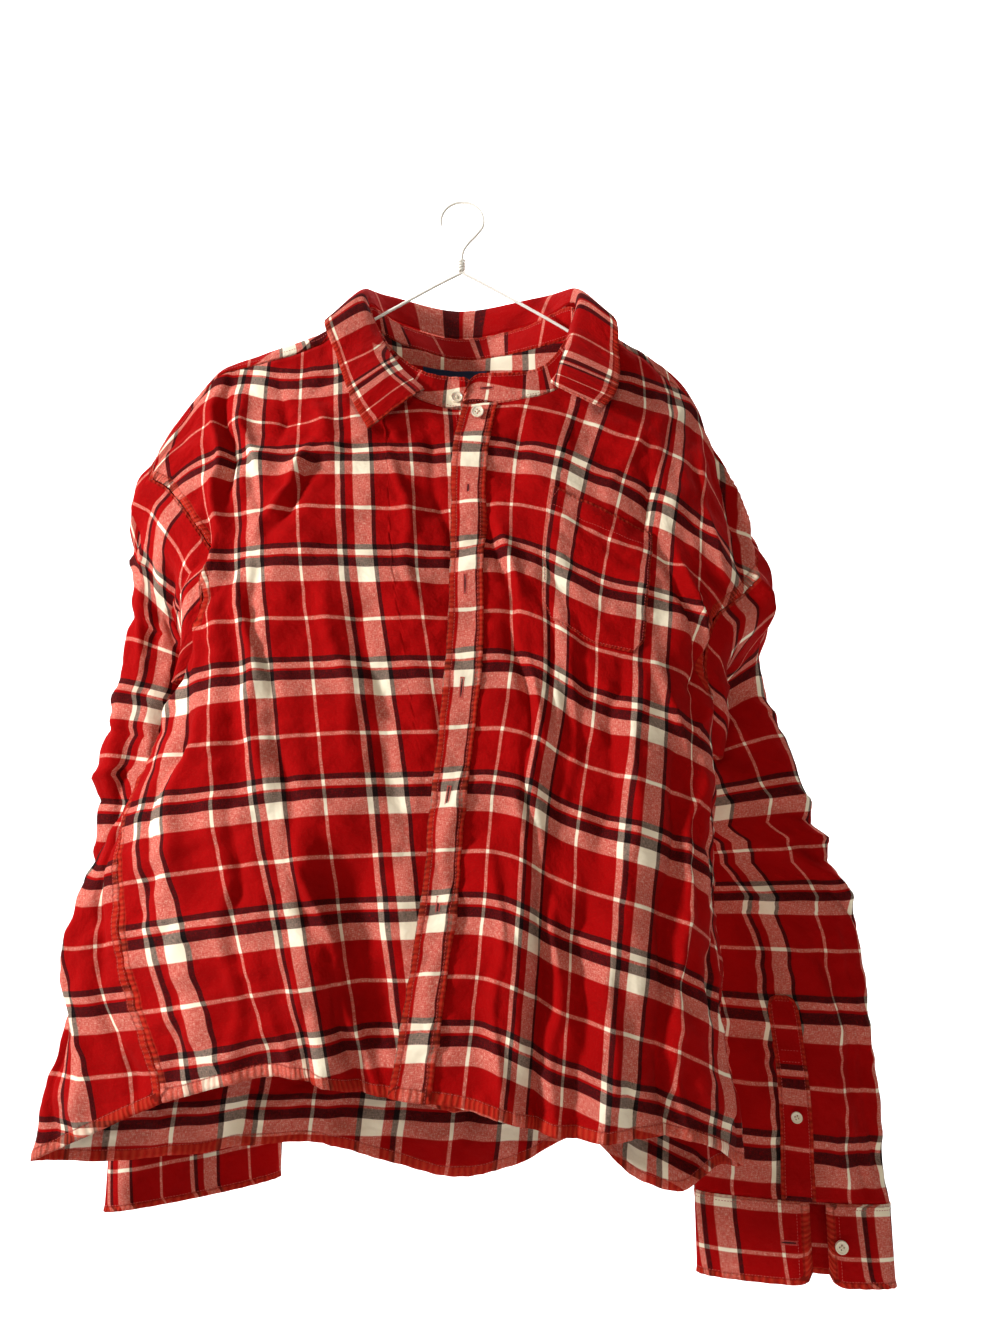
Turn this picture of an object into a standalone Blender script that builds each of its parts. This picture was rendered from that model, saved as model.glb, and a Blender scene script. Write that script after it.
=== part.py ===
"""A men's flannel shirt hanging open on a wire hanger: every cut piece is a thin wall of cloth.

World frame: +Z up, the front faces -Y, and the origin is the underside of the hook's top, where a
rail carries it. "Right" and "left" are the wearer's, so the right front is on the -X side.

The body is one surface, BODY(across, down), read from a table of sections. "across" runs from the
right front edge round the back to the left front edge, and "down" from the neck points to the hem,
both in millimetres of the flat cut. The pieces are areas of that surface, parted at their seams.
"""

import math
from collections import namedtuple

import bmesh
import bpy
import numpy as np
from mathutils import Vector

MM = 0.001

# Driving dimensions, in millimetres.
CLOTH = 1.2             # thickness of one wall of brushed cotton
SEAM = 1.2              # from one piece's edge to the next, so that the walls stay apart
SLEEVE_SEAM = 2.3       # the same at an armhole, where the cloth turns at the seam
LAYER = 1.9             # from a panel's middle to the middle of a piece that lies on it
FRONT = 375.0           # width of one front, edge to side seam
BACK = 720.0            # width of the back, side seam to side seam
PLACKET = 30.0          # width of the front placket
NECK_HALF = 82.5        # centre line to neck point
NECK_DROP = 121.0       # neck points down to the front neck seam
NECK_BACK = 18.0        # neck points down to the back neck seam
SHOULDER_SLOPE = 0.3    # fall of the shoulder line per millimetre outwards
SHOULDER_AT = 345.0     # centre line to shoulder point
UNDERARM = 368.0        # neck points down to the underarm
YOKE_FRONT = 12.0       # the yoke reaches this far forward of the shoulder ridge
YOKE_BACK = 125.0       # neck points down to the yoke's back seam
CUFF_HEIGHT = 70.0
BUTTON_RADIUS, BUTTON_THICK = 5.8, 2.6
SMALL_BUTTON_RADIUS = 5.0
WIRE = 1.5              # radius of the hanger's wire

SIDE_RIGHT = FRONT
SIDE_LEFT = FRONT + BACK
AROUND = 2 * FRONT + BACK
CENTRE_BACK = FRONT + BACK / 2

COLOURS = {
    "flannel": ((0.36, 0.012, 0.012), 0.95, 0.0),
    "label": ((0.012, 0.022, 0.07), 0.8, 0.0),
    "button": ((0.72, 0.63, 0.5), 0.3, 0.0),
    "wire": ((0.86, 0.86, 0.84), 0.35, 0.0),
}

# Sections of the body: one row for each bar of the check, 108 apart down the cut. Each row gives
# the place (x, y, z) of the stations named beside it, in millimetres across the cut.
Section = namedtuple("Section", "down places")

RIGHT_FRONT_STATIONS = (0, 74, 179, 284)
RIGHT_FRONT = (
    Section(0, ((10, -12, -112), (-70, -4, -114), (-160, -1, -125), (-228, -2, -144))),
    Section(70, ((18, -16, -190), (-58, -20, -192), (-156, -13, -210), (-248, -7, -207))),
    Section(178, ((24, -12, -287), (-46, -22, -288), (-154, -26, -291), (-246, -16, -298))),
    Section(286, ((28, -20, -394), (-39, -27, -395), (-146, -33, -395), (-232, -26, -400))),
    Section(394, ((34, -24, -500), (-24, -30, -501), (-130, -38, -503), (-224, -34, -510))),
    Section(502, ((44, -26, -606), (-8, -32, -607), (-115, -42, -610), (-214, -42, -620))),
    Section(610, ((54, -28, -712), (3, -34, -714), (-99, -44, -717), (-186, -48, -726))),
    Section(718, ((64, -28, -818), (14, -34, -820), (-80, -42, -821), (-155, -42, -831))),
    Section(826, ((74, -28, -922), (24, -34, -922), (-62, -42, -924), (-132, -42, -934))),
)

SIDE_SEAM_RIGHT = (
    (-276, 4, -200), (-300, 7, -284), (-312, 12, -336), (-236, 24, -424), (-270, 18, -522),
    (-304, -2, -634), (-294, -14, -742), (-252, -20, -850), (-230, -22, -952),
)

BACK_STATIONS = (60, 120, 260, 360, 460, 600, 660)
BACK_PANEL = (
    Section(0, ((-256, 2, -168), (-214, 1, -140), (-116, 2, -129), (-4, 46, -131),
                (136, 2, -147), (214, 4, -168), (244, 12, -236))),
    Section(70, ((-272, 6, -232), (-226, 8, -204), (-112, 20, -208), (-4, 50, -201),
                 (128, 22, -216), (226, 12, -234), (254, 18, -296))),
    Section(178, ((-288, 16, -330), (-230, 24, -312), (-108, 38, -312), (-6, 52, -309),
                  (118, 42, -320), (222, 30, -342), (262, 26, -398))),
    Section(286, ((-256, 36, -424), (-214, 44, -415), (-100, 46, -417), (-8, 52, -417),
                  (106, 50, -426), (206, 44, -444), (238, 40, -486))),
    Section(394, ((-262, 38, -528), (-222, 50, -522), (-104, 50, -524), (-12, 52, -525),
                  (96, 54, -532), (196, 52, -548), (232, 44, -586))),
    Section(502, ((-318, 18, -640), (-292, 46, -634), (-140, 50, -632), (-34, 50, -632),
                  (74, 54, -638), (190, 54, -656), (230, 48, -692))),
    Section(610, ((-344, 4, -750), (-338, 38, -744), (-186, 46, -740), (-74, 48, -739),
                  (46, 54, -745), (182, 56, -764), (230, 48, -800))),
    Section(718, ((-308, -8, -856), (-360, 16, -858), (-226, 50, -850), (-108, 46, -846),
                  (14, 54, -850), (168, 60, -872), (228, 48, -904))),
    Section(826, ((-286, -14, -960), (-366, 18, -964), (-240, 54, -956), (-122, 48, -952),
                  (0, 58, -956), (158, 66, -980), (226, 50, -1008))),
)

SIDE_SEAM_LEFT = (
    (250, 12, -210), (274, 22, -330), (298, 10, -434), (240, 30, -504), (234, 26, -596),
    (234, 24, -704), (240, 22, -810), (248, 14, -910), (248, 8, -1010),
)

LEFT_FRONT_STATIONS = (264, 159, 54, 0)
LEFT_FRONT = (
    Section(0, ((212, 2, -166), (170, -2, -144), (80, -8, -132), (14, -16, -126))),
    Section(70, ((236, 5, -236), (181, -13, -217), (74, -23, -192), (10, -25, -190))),
    Section(178, ((228, -22, -366), (153, -30, -324), (54, -29, -288), (-6, -25, -284))),
    Section(286, ((222, -27, -450), (131, -39, -426), (48, -37, -389), (-7, -32, -392))),
    Section(394, ((214, -34, -560), (123, -43, -533), (49, -42, -498), (-11, -38, -499))),
    Section(502, ((206, -38, -668), (107, -47, -637), (33, -47, -607), (-20, -42, -608))),
    Section(610, ((192, -42, -772), (99, -51, -741), (25, -51, -711), (-30, -46, -713))),
    Section(718, ((181, -44, -875), (90, -53, -846), (14, -53, -815), (-46, -50, -817))),
    Section(826, ((172, -46, -977), (80, -55, -951), (2, -55, -920), (-62, -52, -922))),
)

# Folds of the body: a ridge line from one place of the cut to another, the half width it spreads
# over, and how far it stands out. A negative height is a trough.
Fold = namedtuple("Fold", "across0 down0 across1 down1 spread height")
FOLDS = (
    Fold(240, 190, 262, 500, 30, -8),
    Fold(200, 160, 262, 220, 26, 6),
    Fold(166, 560, 172, 830, 34, -14),
    Fold(212, 520, 228, 830, 34, 9),
    Fold(90, 560, 104, 830, 40, 5),
    Fold(330, 480, 340, 800, 34, 6),
    Fold(560, 200, 540, 830, 46, 9),
    Fold(650, 180, 640, 830, 48, -9),
    Fold(735, 200, 730, 830, 44, 9),
    Fold(820, 180, 826, 830, 48, -9),
    Fold(900, 200, 916, 830, 46, 9),
    Fold(AROUND - 98, 360, AROUND - 92, 820, 34, 7),
    Fold(AROUND - 140, 420, AROUND - 132, 820, 30, -6),
    Fold(AROUND - 210, 400, AROUND - 200, 820, 36, 7),
    Fold(AROUND - 262, 300, AROUND - 250, 820, 34, -6),
    Fold(AROUND - 300, 380, AROUND - 300, 820, 34, 6),
)

# Armholes: across the front from its edge, and across the back from its centre line.
ARMHOLE_DOWN = (79, 130, 190, 250, 300, 340, 368)
ARMHOLE_FRONT = (362.5, 342, 318, 298, 290, 308, 375)
ARMHOLE_BACK = (345, 335, 325, 318, 318, 332, 360)

# Hems: millimetres down at places across each front and across the back.
HEM_FRONT_AT, HEM_FRONT = (0, 60, 180, 300, 375), (762, 772, 758, 731, 738)
HEM_BACK_AT = (0, 60, 120, 180, 260, 360, 410, 460, 510, 560, 600, 635, 665, 720)
HEM_BACK = (738, 756, 784, 798, 797, 795, 809, 820, 806, 778, 797, 790, 754, 738)

# Sleeves: flattened tubes. Each row gives the way down the sleeve, the tube's middle, half its
# width and half its depth, its turn in degrees about Z, and how far its outer end hangs lower.
Oval = namedtuple("Oval", "down x y z wide deep turn fall")
SLEEVE_RIGHT = (
    Oval(110, -284, 67, -438, 50, 23, 30, -62),
    Oval(225, -261, 93, -490, 84, 27, 27, -26),
    Oval(335, -270, 99, -583, 91, 26, 25, -8),
    Oval(445, -268, 100, -691, 88, 25, 20, -2),
    Oval(545, -262, 98, -790, 80, 22, 12, 4),
    Oval(625, -255, 96, -870, 78, 20, 6, 9),
    Oval(660, -250, 95, -905, 80, 18, 3, 14),
)
SLEEVE_LEFT = (
    Oval(110, 257, 75, -520, 46, 23, -34, -36),
    Oval(205, 256, 92, -572, 74, 27, -31, -18),
    Oval(295, 274, 96, -650, 84, 27, -27, -6),
    Oval(385, 301, 93, -725, 84, 27, -20, 0),
    Oval(475, 309, 86, -805, 80, 24, -14, 2),
    Oval(565, 312, 80, -890, 80, 20, -8, 4),
    Oval(640, 309, 78, -972, 88, 16, -4, 4),
)
CUFF_OPENING = 10.0     # degrees between the two ends of an unbuttoned cuff
CUFF_OPENS_AT = {"right": 283.0, "left": 257.0}  # degrees round each sleeve from its inner end
TOWER_WIDTH, TOWER_LENGTH = 20.0, 178.0          # of the sleeve's placket: degrees, millimetres

# The collar, from the right front end round the neck to the left one, in shares of its length.
Fall = namedtuple("Fall", "share seam crest edge")
COLLAR = (
    Fall(0.00, (-34, -27, -220), (-43, -34, -229), (-86, -38, -266)),
    Fall(0.14, (-60, -24, -193), (-70, -32, -203), (-104, -36, -232)),
    Fall(0.26, (-80, -16, -156), (-88, -22, -166), (-120, -27, -186)),
    Fall(0.36, (-92, -3, -115), (-99, -6, -103), (-134, -12, -139)),
    Fall(0.44, (-64, 40, -113), (-76, 40, -82), (-106, 56, -120)),
    Fall(0.50, (-4, 58.0, -120.2), (-4, 66, -84), (-4, 82, -128)),
    Fall(0.56, (66, 44, -113), (80, 42, -82), (108, 60, -122)),
    Fall(0.64, (112, -2, -113), (117, -5, -101), (148, -14, -136)),
    Fall(0.74, (106, -15, -158), (112, -22, -156), (155, -26, -184)),
    Fall(0.86, (98, -22, -194), (99, -32, -196), (152, -36, -222)),
    Fall(1.00, (88, -25.2, -212), (94, -34, -221), (137, -40, -246)),
)
# Top edge of the neckband, in shares of the neck seam's length.
BAND_SHARES = (0.0, 0.12, 0.22, 0.32, 0.41, 0.50, 0.59, 0.68, 0.78, 0.88, 1.0)
BAND_TOP = (
    (14, -12, -214), (-38, -17, -208), (-72, -13, -170), (-91, -1, -118), (-60, 38, -118),
    (-4, 56, -122), (62, 40, -118), (111, 0, -117), (101, -13, -168), (74, -20, -204),
    (8, -24, -215),
)

# The hanger: its right-hand arm from the middle outwards, mirrored for the other one.
ARM = ((0, -79), (20, -90), (52, -109), (100, -138.5), (124, -153.9), (182, -180), (190, -184))
BAR_DROP = -201.0
HOOK_RADIUS = 22.0

BUTTONHOLE_DOWN = (216, 314, 411, 508, 605)
TOP_BUTTON_DOWN = 133.0
POCKET = {"across": 90.0, "down": 206.0, "width": 114.0, "height": 130.0, "corner": 9.0}
LABEL = {"from": -32.0, "to": 22.0, "top": 31.0, "bottom": 57.0}


def spline(knots, values, at):
    """Values on a smooth curve through the knots, read at each place; straight on past its ends."""
    knots, values, at = (np.asarray(part, float) for part in (knots, values, at))
    steps = np.diff(knots).reshape((-1,) + (1,) * (values.ndim - 1))
    slopes = np.diff(values, axis=0) / steps
    leans = np.empty_like(values)
    leans[0], leans[-1] = slopes[0], slopes[-1]
    leans[1:-1] = (slopes[:-1] * steps[1:] + slopes[1:] * steps[:-1]) / (steps[:-1] + steps[1:])
    low = np.clip(np.searchsorted(knots, at, side="right") - 1, 0, len(knots) - 2)
    shape = (-1,) + (1,) * (values.ndim - 1)
    step = (knots[low + 1] - knots[low]).reshape(shape)
    way = ((at - knots[low]) / (knots[low + 1] - knots[low])).reshape(shape)
    inside = np.clip(way, 0, 1)
    found = ((1 + 2 * inside) * (1 - inside) ** 2 * values[low]
             + inside * (1 - inside) ** 2 * step * leans[low]
             + inside ** 2 * (3 - 2 * inside) * values[low + 1]
             + inside ** 2 * (inside - 1) * step * leans[low + 1])
    beyond = (way - inside) * step
    return found + beyond * np.where(way > 1, leans[low + 1], leans[low])


STATIONS = (RIGHT_FRONT_STATIONS + (SIDE_RIGHT,)
            + tuple(SIDE_RIGHT + at for at in BACK_STATIONS) + (SIDE_LEFT,)
            + tuple(AROUND - at for at in LEFT_FRONT_STATIONS))
LEVELS = tuple(row.down for row in RIGHT_FRONT)
PLACES = np.array([
    right.places + (seam_right,) + back.places + (seam_left,) + left.places
    for right, seam_right, back, seam_left, left in zip(
        RIGHT_FRONT, SIDE_SEAM_RIGHT, BACK_PANEL, SIDE_SEAM_LEFT, LEFT_FRONT)], float)


def smooth_body(across, down):
    """The body before its folds."""
    by_station = spline(STATIONS, np.eye(len(STATIONS)), across)
    by_level = spline(LEVELS, np.eye(len(LEVELS)), down)
    return np.einsum("nl,ns,lsc->nc", by_level, by_station, PLACES)


def outward(surface, first, second):
    """Unit normals of a surface that takes two arrays."""
    here = surface(first, second)
    normal = np.cross(surface(first + 1, second) - here, surface(first, second + 1) - here)
    return normal / np.linalg.norm(normal, axis=1)[:, None]


def fold_height(fold, across, down):
    along = np.array((fold.across1 - fold.across0, fold.down1 - fold.down0), float)
    length = np.linalg.norm(along)
    along /= length
    reach = (across - fold.across0) * along[0] + (down - fold.down0) * along[1]
    aside = (across - fold.across0) * along[1] - (down - fold.down0) * along[0]
    ends = np.clip(np.minimum(reach, length - reach) / 60, -0.5, 0.5) + 0.5
    bump = np.where(np.abs(aside) < fold.spread, np.cos(aside / fold.spread * math.pi) + 1, 0) / 2
    return fold.height * bump * ends * ends * (3 - 2 * ends)


def body(across, down):
    height = sum(fold_height(fold, across, down) for fold in FOLDS)
    return smooth_body(across, down) + outward(smooth_body, across, down) * height[:, None]


def front_across(side, from_edge):
    return from_edge if side == "right" else AROUND - from_edge


def shoulder_down(from_centre):
    return np.maximum(from_centre - NECK_HALF, 0) * SHOULDER_SLOPE


def neckline(from_edge):
    """The front neck seam: level past the centre line, then a flattened quarter round."""
    way = np.clip((from_edge - PLACKET / 2) / NECK_HALF, 0, 1)
    return NECK_DROP * (1 - way ** 2.6) ** (1 / 2.6)


def front_top(from_edge):
    return np.maximum(neckline(from_edge),
                      shoulder_down(from_edge - PLACKET / 2) + YOKE_FRONT)


def front_side(down):
    return np.where(down < UNDERARM, spline(ARMHOLE_DOWN, ARMHOLE_FRONT, down), FRONT)


def back_side(down):
    return np.where(down < UNDERARM, spline(ARMHOLE_DOWN, ARMHOLE_BACK, down), BACK / 2)


def drawn_in(share, width, side):
    """Where a column lies when the panel's side is cut in from its full width: only the columns
    of the outer half give way."""
    bend = np.clip(np.abs(share) * 2 - 1, 0, 1) ** 2
    return share * width - np.sign(share) * (width - side + SEAM / 2) * bend


def shares_at(places, width, side):
    """The columns that lie at these places when the side is cut in."""
    shares = np.asarray(places, float) / width
    for _ in range(40):
        shares = shares + (places - drawn_in(shares, width, side)) / width
    return shares


def front_point(side, share, way):
    """A front, from its edge (share 0) to its side and from its top (way 0) to its hem."""
    top = front_top(drawn_in(share, FRONT, FRONT_TOP_SIDE))
    hem = spline(HEM_FRONT_AT, HEM_FRONT, share * FRONT)
    down = top + (hem - top) * way
    at_side = FRONT_TOP_DOWN + (HEM_FRONT[-1] - FRONT_TOP_DOWN) * way
    return front_across(side, drawn_in(share, FRONT, front_side(at_side))), down


def back_point(share, way):
    """The back below the yoke, from the right side (share -1) to the left (share 1)."""
    hem = spline(HEM_BACK_AT, HEM_BACK, BACK / 2 * (1 + share))
    top = YOKE_BACK + SEAM / 2
    down = top + (hem - top) * way
    at_side = top + (HEM_BACK[0] - top) * way
    return CENTRE_BACK + drawn_in(share, BACK / 2, back_side(at_side)), down


def yoke_side(way):
    """Centre line to the yoke's side, which the armhole cuts in before and behind the ridge."""
    past = SEAM - YOKE_FRONT + (YOKE_BACK - RIDGE_END - SEAM / 2 - SEAM + YOKE_FRONT) * way
    return np.where(past < 0, front_side(RIDGE_END - past) - PLACKET / 2,
                    back_side(RIDGE_END + past))


def yoke_point(share, way):
    """The yoke, over the shoulders from just before the ridge to its back seam."""
    from_centre = drawn_in(share, SHOULDER_AT, yoke_side(way))
    aside = np.abs(from_centre)
    ridge = shoulder_down(aside)
    opened = np.clip((aside - NECK_HALF) / 3.5, 0, 1)
    neck = NECK_BACK * (1 - np.clip(aside / NECK_HALF, 0, 1) ** 2.2)
    start = np.where(aside > NECK_HALF, SEAM * 1.3 - YOKE_FRONT * opened, neck)
    end = YOKE_BACK - SEAM / 2 - ridge
    past = start + (end - start) * way
    side_front = np.where(share < 0, aside + PLACKET / 2, AROUND - aside - PLACKET / 2)
    lap = 10.0
    front = body(side_front, ridge + np.maximum(-past, lap))
    back = body(CENTRE_BACK + from_centre, ridge + np.maximum(past, 0))
    over = body(CENTRE_BACK + from_centre, ridge + lap)
    crest = (front + over) / 2 + (0, 0, 20.0)
    turn = np.clip((past + lap) / (2 * lap), 0, 1)[:, None]
    arch = (1 - turn) ** 2 * front + 2 * turn * (1 - turn) * crest + turn ** 2 * over
    on_ridge = (np.abs(past) < lap) & (aside > NECK_HALF)
    placed = np.where((past < 0)[:, None], front, back)
    return np.where(on_ridge[:, None], arch, placed)


# Columns and rows of the panels' grids. The fronts, the yoke and the back share their columns at
# the seams, so that their edges run exactly side by side.
RIDGE_END = (SHOULDER_AT - NECK_HALF) * SHOULDER_SLOPE
FRONT_TOP_DOWN = RIDGE_END + YOKE_FRONT
FRONT_TOP_SIDE = front_side(FRONT_TOP_DOWN)[0]
YOKE_HALF = np.array((0, 28, 56, 74, 82.4, 86, 110, 150, 190, 230, 270, 310, SHOULDER_AT))
YOKE_SHARES = np.concatenate((-YOKE_HALF[:0:-1], YOKE_HALF)) / SHOULDER_AT
YOKE_WAYS = np.array((0, 0.06, 0.12, 0.2, 0.34, 0.55, 0.78, 1.0))
SHOULDER_COLUMNS = drawn_in(YOKE_SHARES[-9:], SHOULDER_AT, FRONT_TOP_SIDE - PLACKET / 2)
FRONT_SHARES = np.concatenate((
    np.array((0, 17.5, PLACKET, 60, 78, 90, 97)) / FRONT,
    shares_at(SHOULDER_COLUMNS + PLACKET / 2, FRONT, FRONT_TOP_SIDE)))
NECK_COLUMN = 7
BACK_SHARES = shares_at(drawn_in(YOKE_SHARES, SHOULDER_AT, back_side(YOKE_BACK)),
                        BACK / 2, back_side(YOKE_BACK + SEAM / 2))
UNDERARM_ROW, BACK_UNDERARM_ROW, HEM_ROWS = 11, 8, 13


def ways_to_hem(top, hem, underarm_row):
    """Rows from a panel's top to its hem, with one just at the underarm."""
    underarm = (UNDERARM - top) / (hem - top)
    return np.concatenate((np.linspace(0, underarm, underarm_row + 1),
                           np.linspace(underarm, 1, HEM_ROWS + 1)[1:]))


FRONT_WAYS = ways_to_hem(FRONT_TOP_DOWN, HEM_FRONT[-1], UNDERARM_ROW)
BACK_WAYS = ways_to_hem(YOKE_BACK + SEAM / 2, HEM_BACK[0], BACK_UNDERARM_ROW)
SLEEVE_WAYS = np.array((0, 0.024, 0.08, 0.14, 0.2, 0.26, 0.33, 0.4, 0.47, 0.54, 0.61, 0.68, 0.76,
                        0.84, 0.92, 1.0))


def armhole(side):
    """The armhole seam, from the underarm up its first side and down its second, and the way the
    sleeve leaves it at each point."""
    sign = -1 if side == "right" else 1
    front = front_point(side, np.ones(UNDERARM_ROW), FRONT_WAYS[UNDERARM_ROW:0:-1])
    back = back_point(np.full(BACK_UNDERARM_ROW, sign), BACK_WAYS[BACK_UNDERARM_ROW:0:-1])
    shoulder = yoke_point(np.full(len(YOKE_WAYS), sign), YOKE_WAYS)
    corner = np.array(((SIDE_RIGHT if side == "right" else SIDE_LEFT), UNDERARM))
    underarm = body(corner[:1], corner[1:])
    if side == "right":
        ring = np.concatenate((underarm, body(*front)[1:], shoulder, body(*back)[:0:-1]))
    else:
        ring = np.concatenate((underarm, body(*back)[1:], shoulder[::-1], body(*front)[:0:-1]))
    along = np.roll(ring, -1, axis=0) - np.roll(ring, 1, axis=0)
    along /= np.linalg.norm(along, axis=1)[:, None]
    outer = np.array((sign, 0.0, 0.0))
    leave = outer - along * (along @ outer)[:, None]
    leave /= np.linalg.norm(leave, axis=1)[:, None]
    height = np.clip((ring[:, 2] - ring[0, 2]) / np.ptp(ring[:, 2]), 0, 1)[:, None]
    fall = outer + (1 - height) * (0, 0.5, 0) + height * (0, 0.1, -1.4)
    fall /= np.linalg.norm(fall, axis=1)[:, None]
    steps = np.linalg.norm(np.diff(np.vstack((ring, ring[:1])), axis=0), axis=1)
    turns = np.concatenate(((0,), np.cumsum(steps))) / steps.sum() * 360
    return ring, leave, fall, turns


class Sleeve:
    """One sleeve: a surface of degrees round it and millimetres down it."""

    def __init__(self, side, ovals):
        self.side, self.ovals = side, ovals
        self.sign = 1 if side == "right" else -1
        *rows, self.turns = armhole(side)
        self.ring, self.leave, self.fall = (np.vstack((row, row[:1])) for row in rows)
        self.levels = (0, 16) + tuple(oval.down for oval in ovals)

    def oval(self, oval, degrees):
        angle = np.radians(degrees)
        wide = self.sign * oval.wide * np.cos(angle)
        deep = -self.sign * oval.deep * np.sign(np.sin(angle)) * np.abs(np.sin(angle)) ** 0.85
        turn = math.radians(oval.turn)
        return np.stack((oval.x + wide * math.cos(turn) - deep * math.sin(turn),
                         oval.y + wide * math.sin(turn) + deep * math.cos(turn),
                         oval.z + oval.fall * np.cos(angle)), axis=1)

    def point(self, degrees, down):
        degrees = np.asarray(degrees, float) % 360.0001
        ring, leave, fall = (np.stack([np.interp(degrees, self.turns, part[:, axis])
                                       for axis in range(3)], axis=1)
                             for part in (self.ring, self.leave, self.fall))
        rows = [ring + leave * SLEEVE_SEAM, ring + leave * SLEEVE_SEAM + fall * 16]
        rows += [self.oval(oval, degrees) for oval in self.ovals]
        by_level = spline(self.levels, np.eye(len(self.levels)), down)
        return np.einsum("nl,lnc->nc", by_level, np.array(rows))

    def moved_out(self, degrees, down, height):
        return self.point(degrees, down) + outward(self.point, degrees, down) * height

    def length(self):
        return self.ovals[-1].down


def material(name):
    colour, rough, metal = COLOURS[name]
    made = bpy.data.materials.new(name)
    made.use_nodes = True
    shader = made.node_tree.nodes["Principled BSDF"]
    shader.inputs["Base Color"].default_value = (*colour, 1)
    shader.inputs["Roughness"].default_value = rough
    shader.inputs["Metallic"].default_value = metal
    return made


def add(name, mesh, colour):
    made = bpy.data.objects.new(name, mesh)
    mesh.materials.append(material(colour))
    COLLECTION.objects.link(made)
    return made


def lattice(name, shares, ways, place, colour="flannel", thickness=CLOTH, closed=False):
    """A wall of cloth: a grid with its columns and rows at the given shares, hung by place()."""
    columns, rows = len(shares), len(ways)
    shape = bmesh.new()
    bmesh.ops.create_grid(shape, x_segments=columns - 1, y_segments=rows - 1, size=0.5)
    column = np.array([round((vertex.co.x + 0.5) * (columns - 1)) for vertex in shape.verts])
    row = np.array([round((vertex.co.y + 0.5) * (rows - 1)) for vertex in shape.verts])
    placed = place(np.asarray(shares, float)[column], np.asarray(ways, float)[row]) * MM
    for vertex, point in zip(shape.verts, placed):
        vertex.co = point
    if closed:
        bmesh.ops.remove_doubles(shape, verts=shape.verts, dist=1e-5)
    mesh = bpy.data.meshes.new(name)
    shape.to_mesh(mesh)
    shape.free()
    mesh.shade_smooth()
    made = add(name, mesh, colour)
    wall = made.modifiers.new("wall", "SOLIDIFY")
    wall.thickness = thickness * MM
    wall.offset = 0
    return made


def panels():
    """The fronts, the back and the yoke."""
    for side in ("right", "left"):
        lattice(f"front_{side}", FRONT_SHARES, FRONT_WAYS,
                lambda share, way, side=side: body(*front_point(side, share, way)))
    lattice("back", BACK_SHARES, BACK_WAYS, lambda share, way: body(*back_point(share, way)))
    lattice("yoke", YOKE_SHARES, YOKE_WAYS, yoke_point)


def on_body(across, down, height):
    return body(across, down) + outward(body, across, down) * height


def placket():
    """The buttonhole placket, sewn along the edge of the left front."""
    def place(share, way):
        across, down = front_point("left", share, way)
        return on_body(across, down, LAYER)
    lattice("placket", FRONT_SHARES[:3], FRONT_WAYS, place, thickness=1.6)


def pocket():
    """The chest pocket, with its lower corners cut off."""
    shares = np.linspace(0, 1, 5)
    ways = np.array((0, 0.16, 0.4, 0.64, 0.88, 1.0))

    def place(share, way):
        inset = np.clip((way - 0.88) / 0.12, 0, 1) * POCKET["corner"]
        from_edge = POCKET["across"] + inset + share * (POCKET["width"] - 2 * inset)
        down = POCKET["down"] + way * POCKET["height"]
        return on_body(AROUND - from_edge, down, LAYER)
    lattice("pocket", shares, ways, place)


def label():
    """A plain label inside the back of the neck."""
    def place(share, way):
        across = CENTRE_BACK + LABEL["from"] + share * (LABEL["to"] - LABEL["from"])
        down = LABEL["top"] + way * (LABEL["bottom"] - LABEL["top"])
        return on_body(across, down, -LAYER - 0.9)
    lattice("label", np.linspace(0, 1, 4), np.linspace(0, 1, 3), place, "label", 1.0)


def neck_seam():
    """The neck seam, from the right front edge round the back to the left front edge."""
    across_front = FRONT_SHARES[:NECK_COLUMN + 1]
    right = body(*front_point("right", across_front, np.zeros(NECK_COLUMN + 1)))
    left = body(*front_point("left", across_front, np.zeros(NECK_COLUMN + 1)))
    middle = YOKE_SHARES[np.abs(YOKE_SHARES) < NECK_HALF / SHOULDER_AT]
    back = yoke_point(middle, np.zeros(len(middle)))
    return np.concatenate((right, back, left[::-1]))


def collar():
    """The neckband on the neck seam, and the leaf that rolls over its top edge."""
    seam = neck_seam()
    steps = np.linalg.norm(np.diff(seam, axis=0), axis=1)
    shares = np.concatenate(((0,), np.cumsum(steps))) / steps.sum()
    along = np.gradient(seam, axis=0)
    along /= np.linalg.norm(along, axis=1)[:, None]
    rise = spline(BAND_SHARES, BAND_TOP, shares) - seam
    away = rise - along * (rise * along).sum(axis=1)[:, None]
    away /= np.linalg.norm(away, axis=1)[:, None]

    def band(share, way):
        bottom = np.stack([np.interp(share, shares, seam[:, axis]) for axis in range(3)], axis=1)
        top = spline(BAND_SHARES, BAND_TOP, share)
        lift = np.stack([np.interp(share, shares, away[:, axis]) for axis in range(3)], axis=1)
        start = bottom + lift * SEAM * 1.6
        return start + (top - start) * way[:, None]
    lattice("collar_band", shares, np.linspace(0, 1, 3), band, thickness=1.8)

    def leaf(share, way):
        guides = [spline([fall.share for fall in COLLAR], [getattr(fall, part) for fall in COLLAR],
                         share) for part in ("seam", "crest", "edge")]
        by_guide = spline((0, 0.36, 1), np.eye(3), way)
        return np.einsum("ng,gnc->nc", by_guide, np.array(guides))
    lattice("collar_leaf", np.linspace(0, 1, 29), np.linspace(0, 1, 8), leaf, thickness=1.8)
    return band


def cuff_point(sleeve, degrees, way):
    """A cuff hangs straight down from the sleeve's end."""
    down = np.full(len(degrees), sleeve.length())
    return sleeve.point(degrees, down) - np.outer(SEAM / 2 + way * CUFF_HEIGHT, (0, 0, 1))


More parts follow.
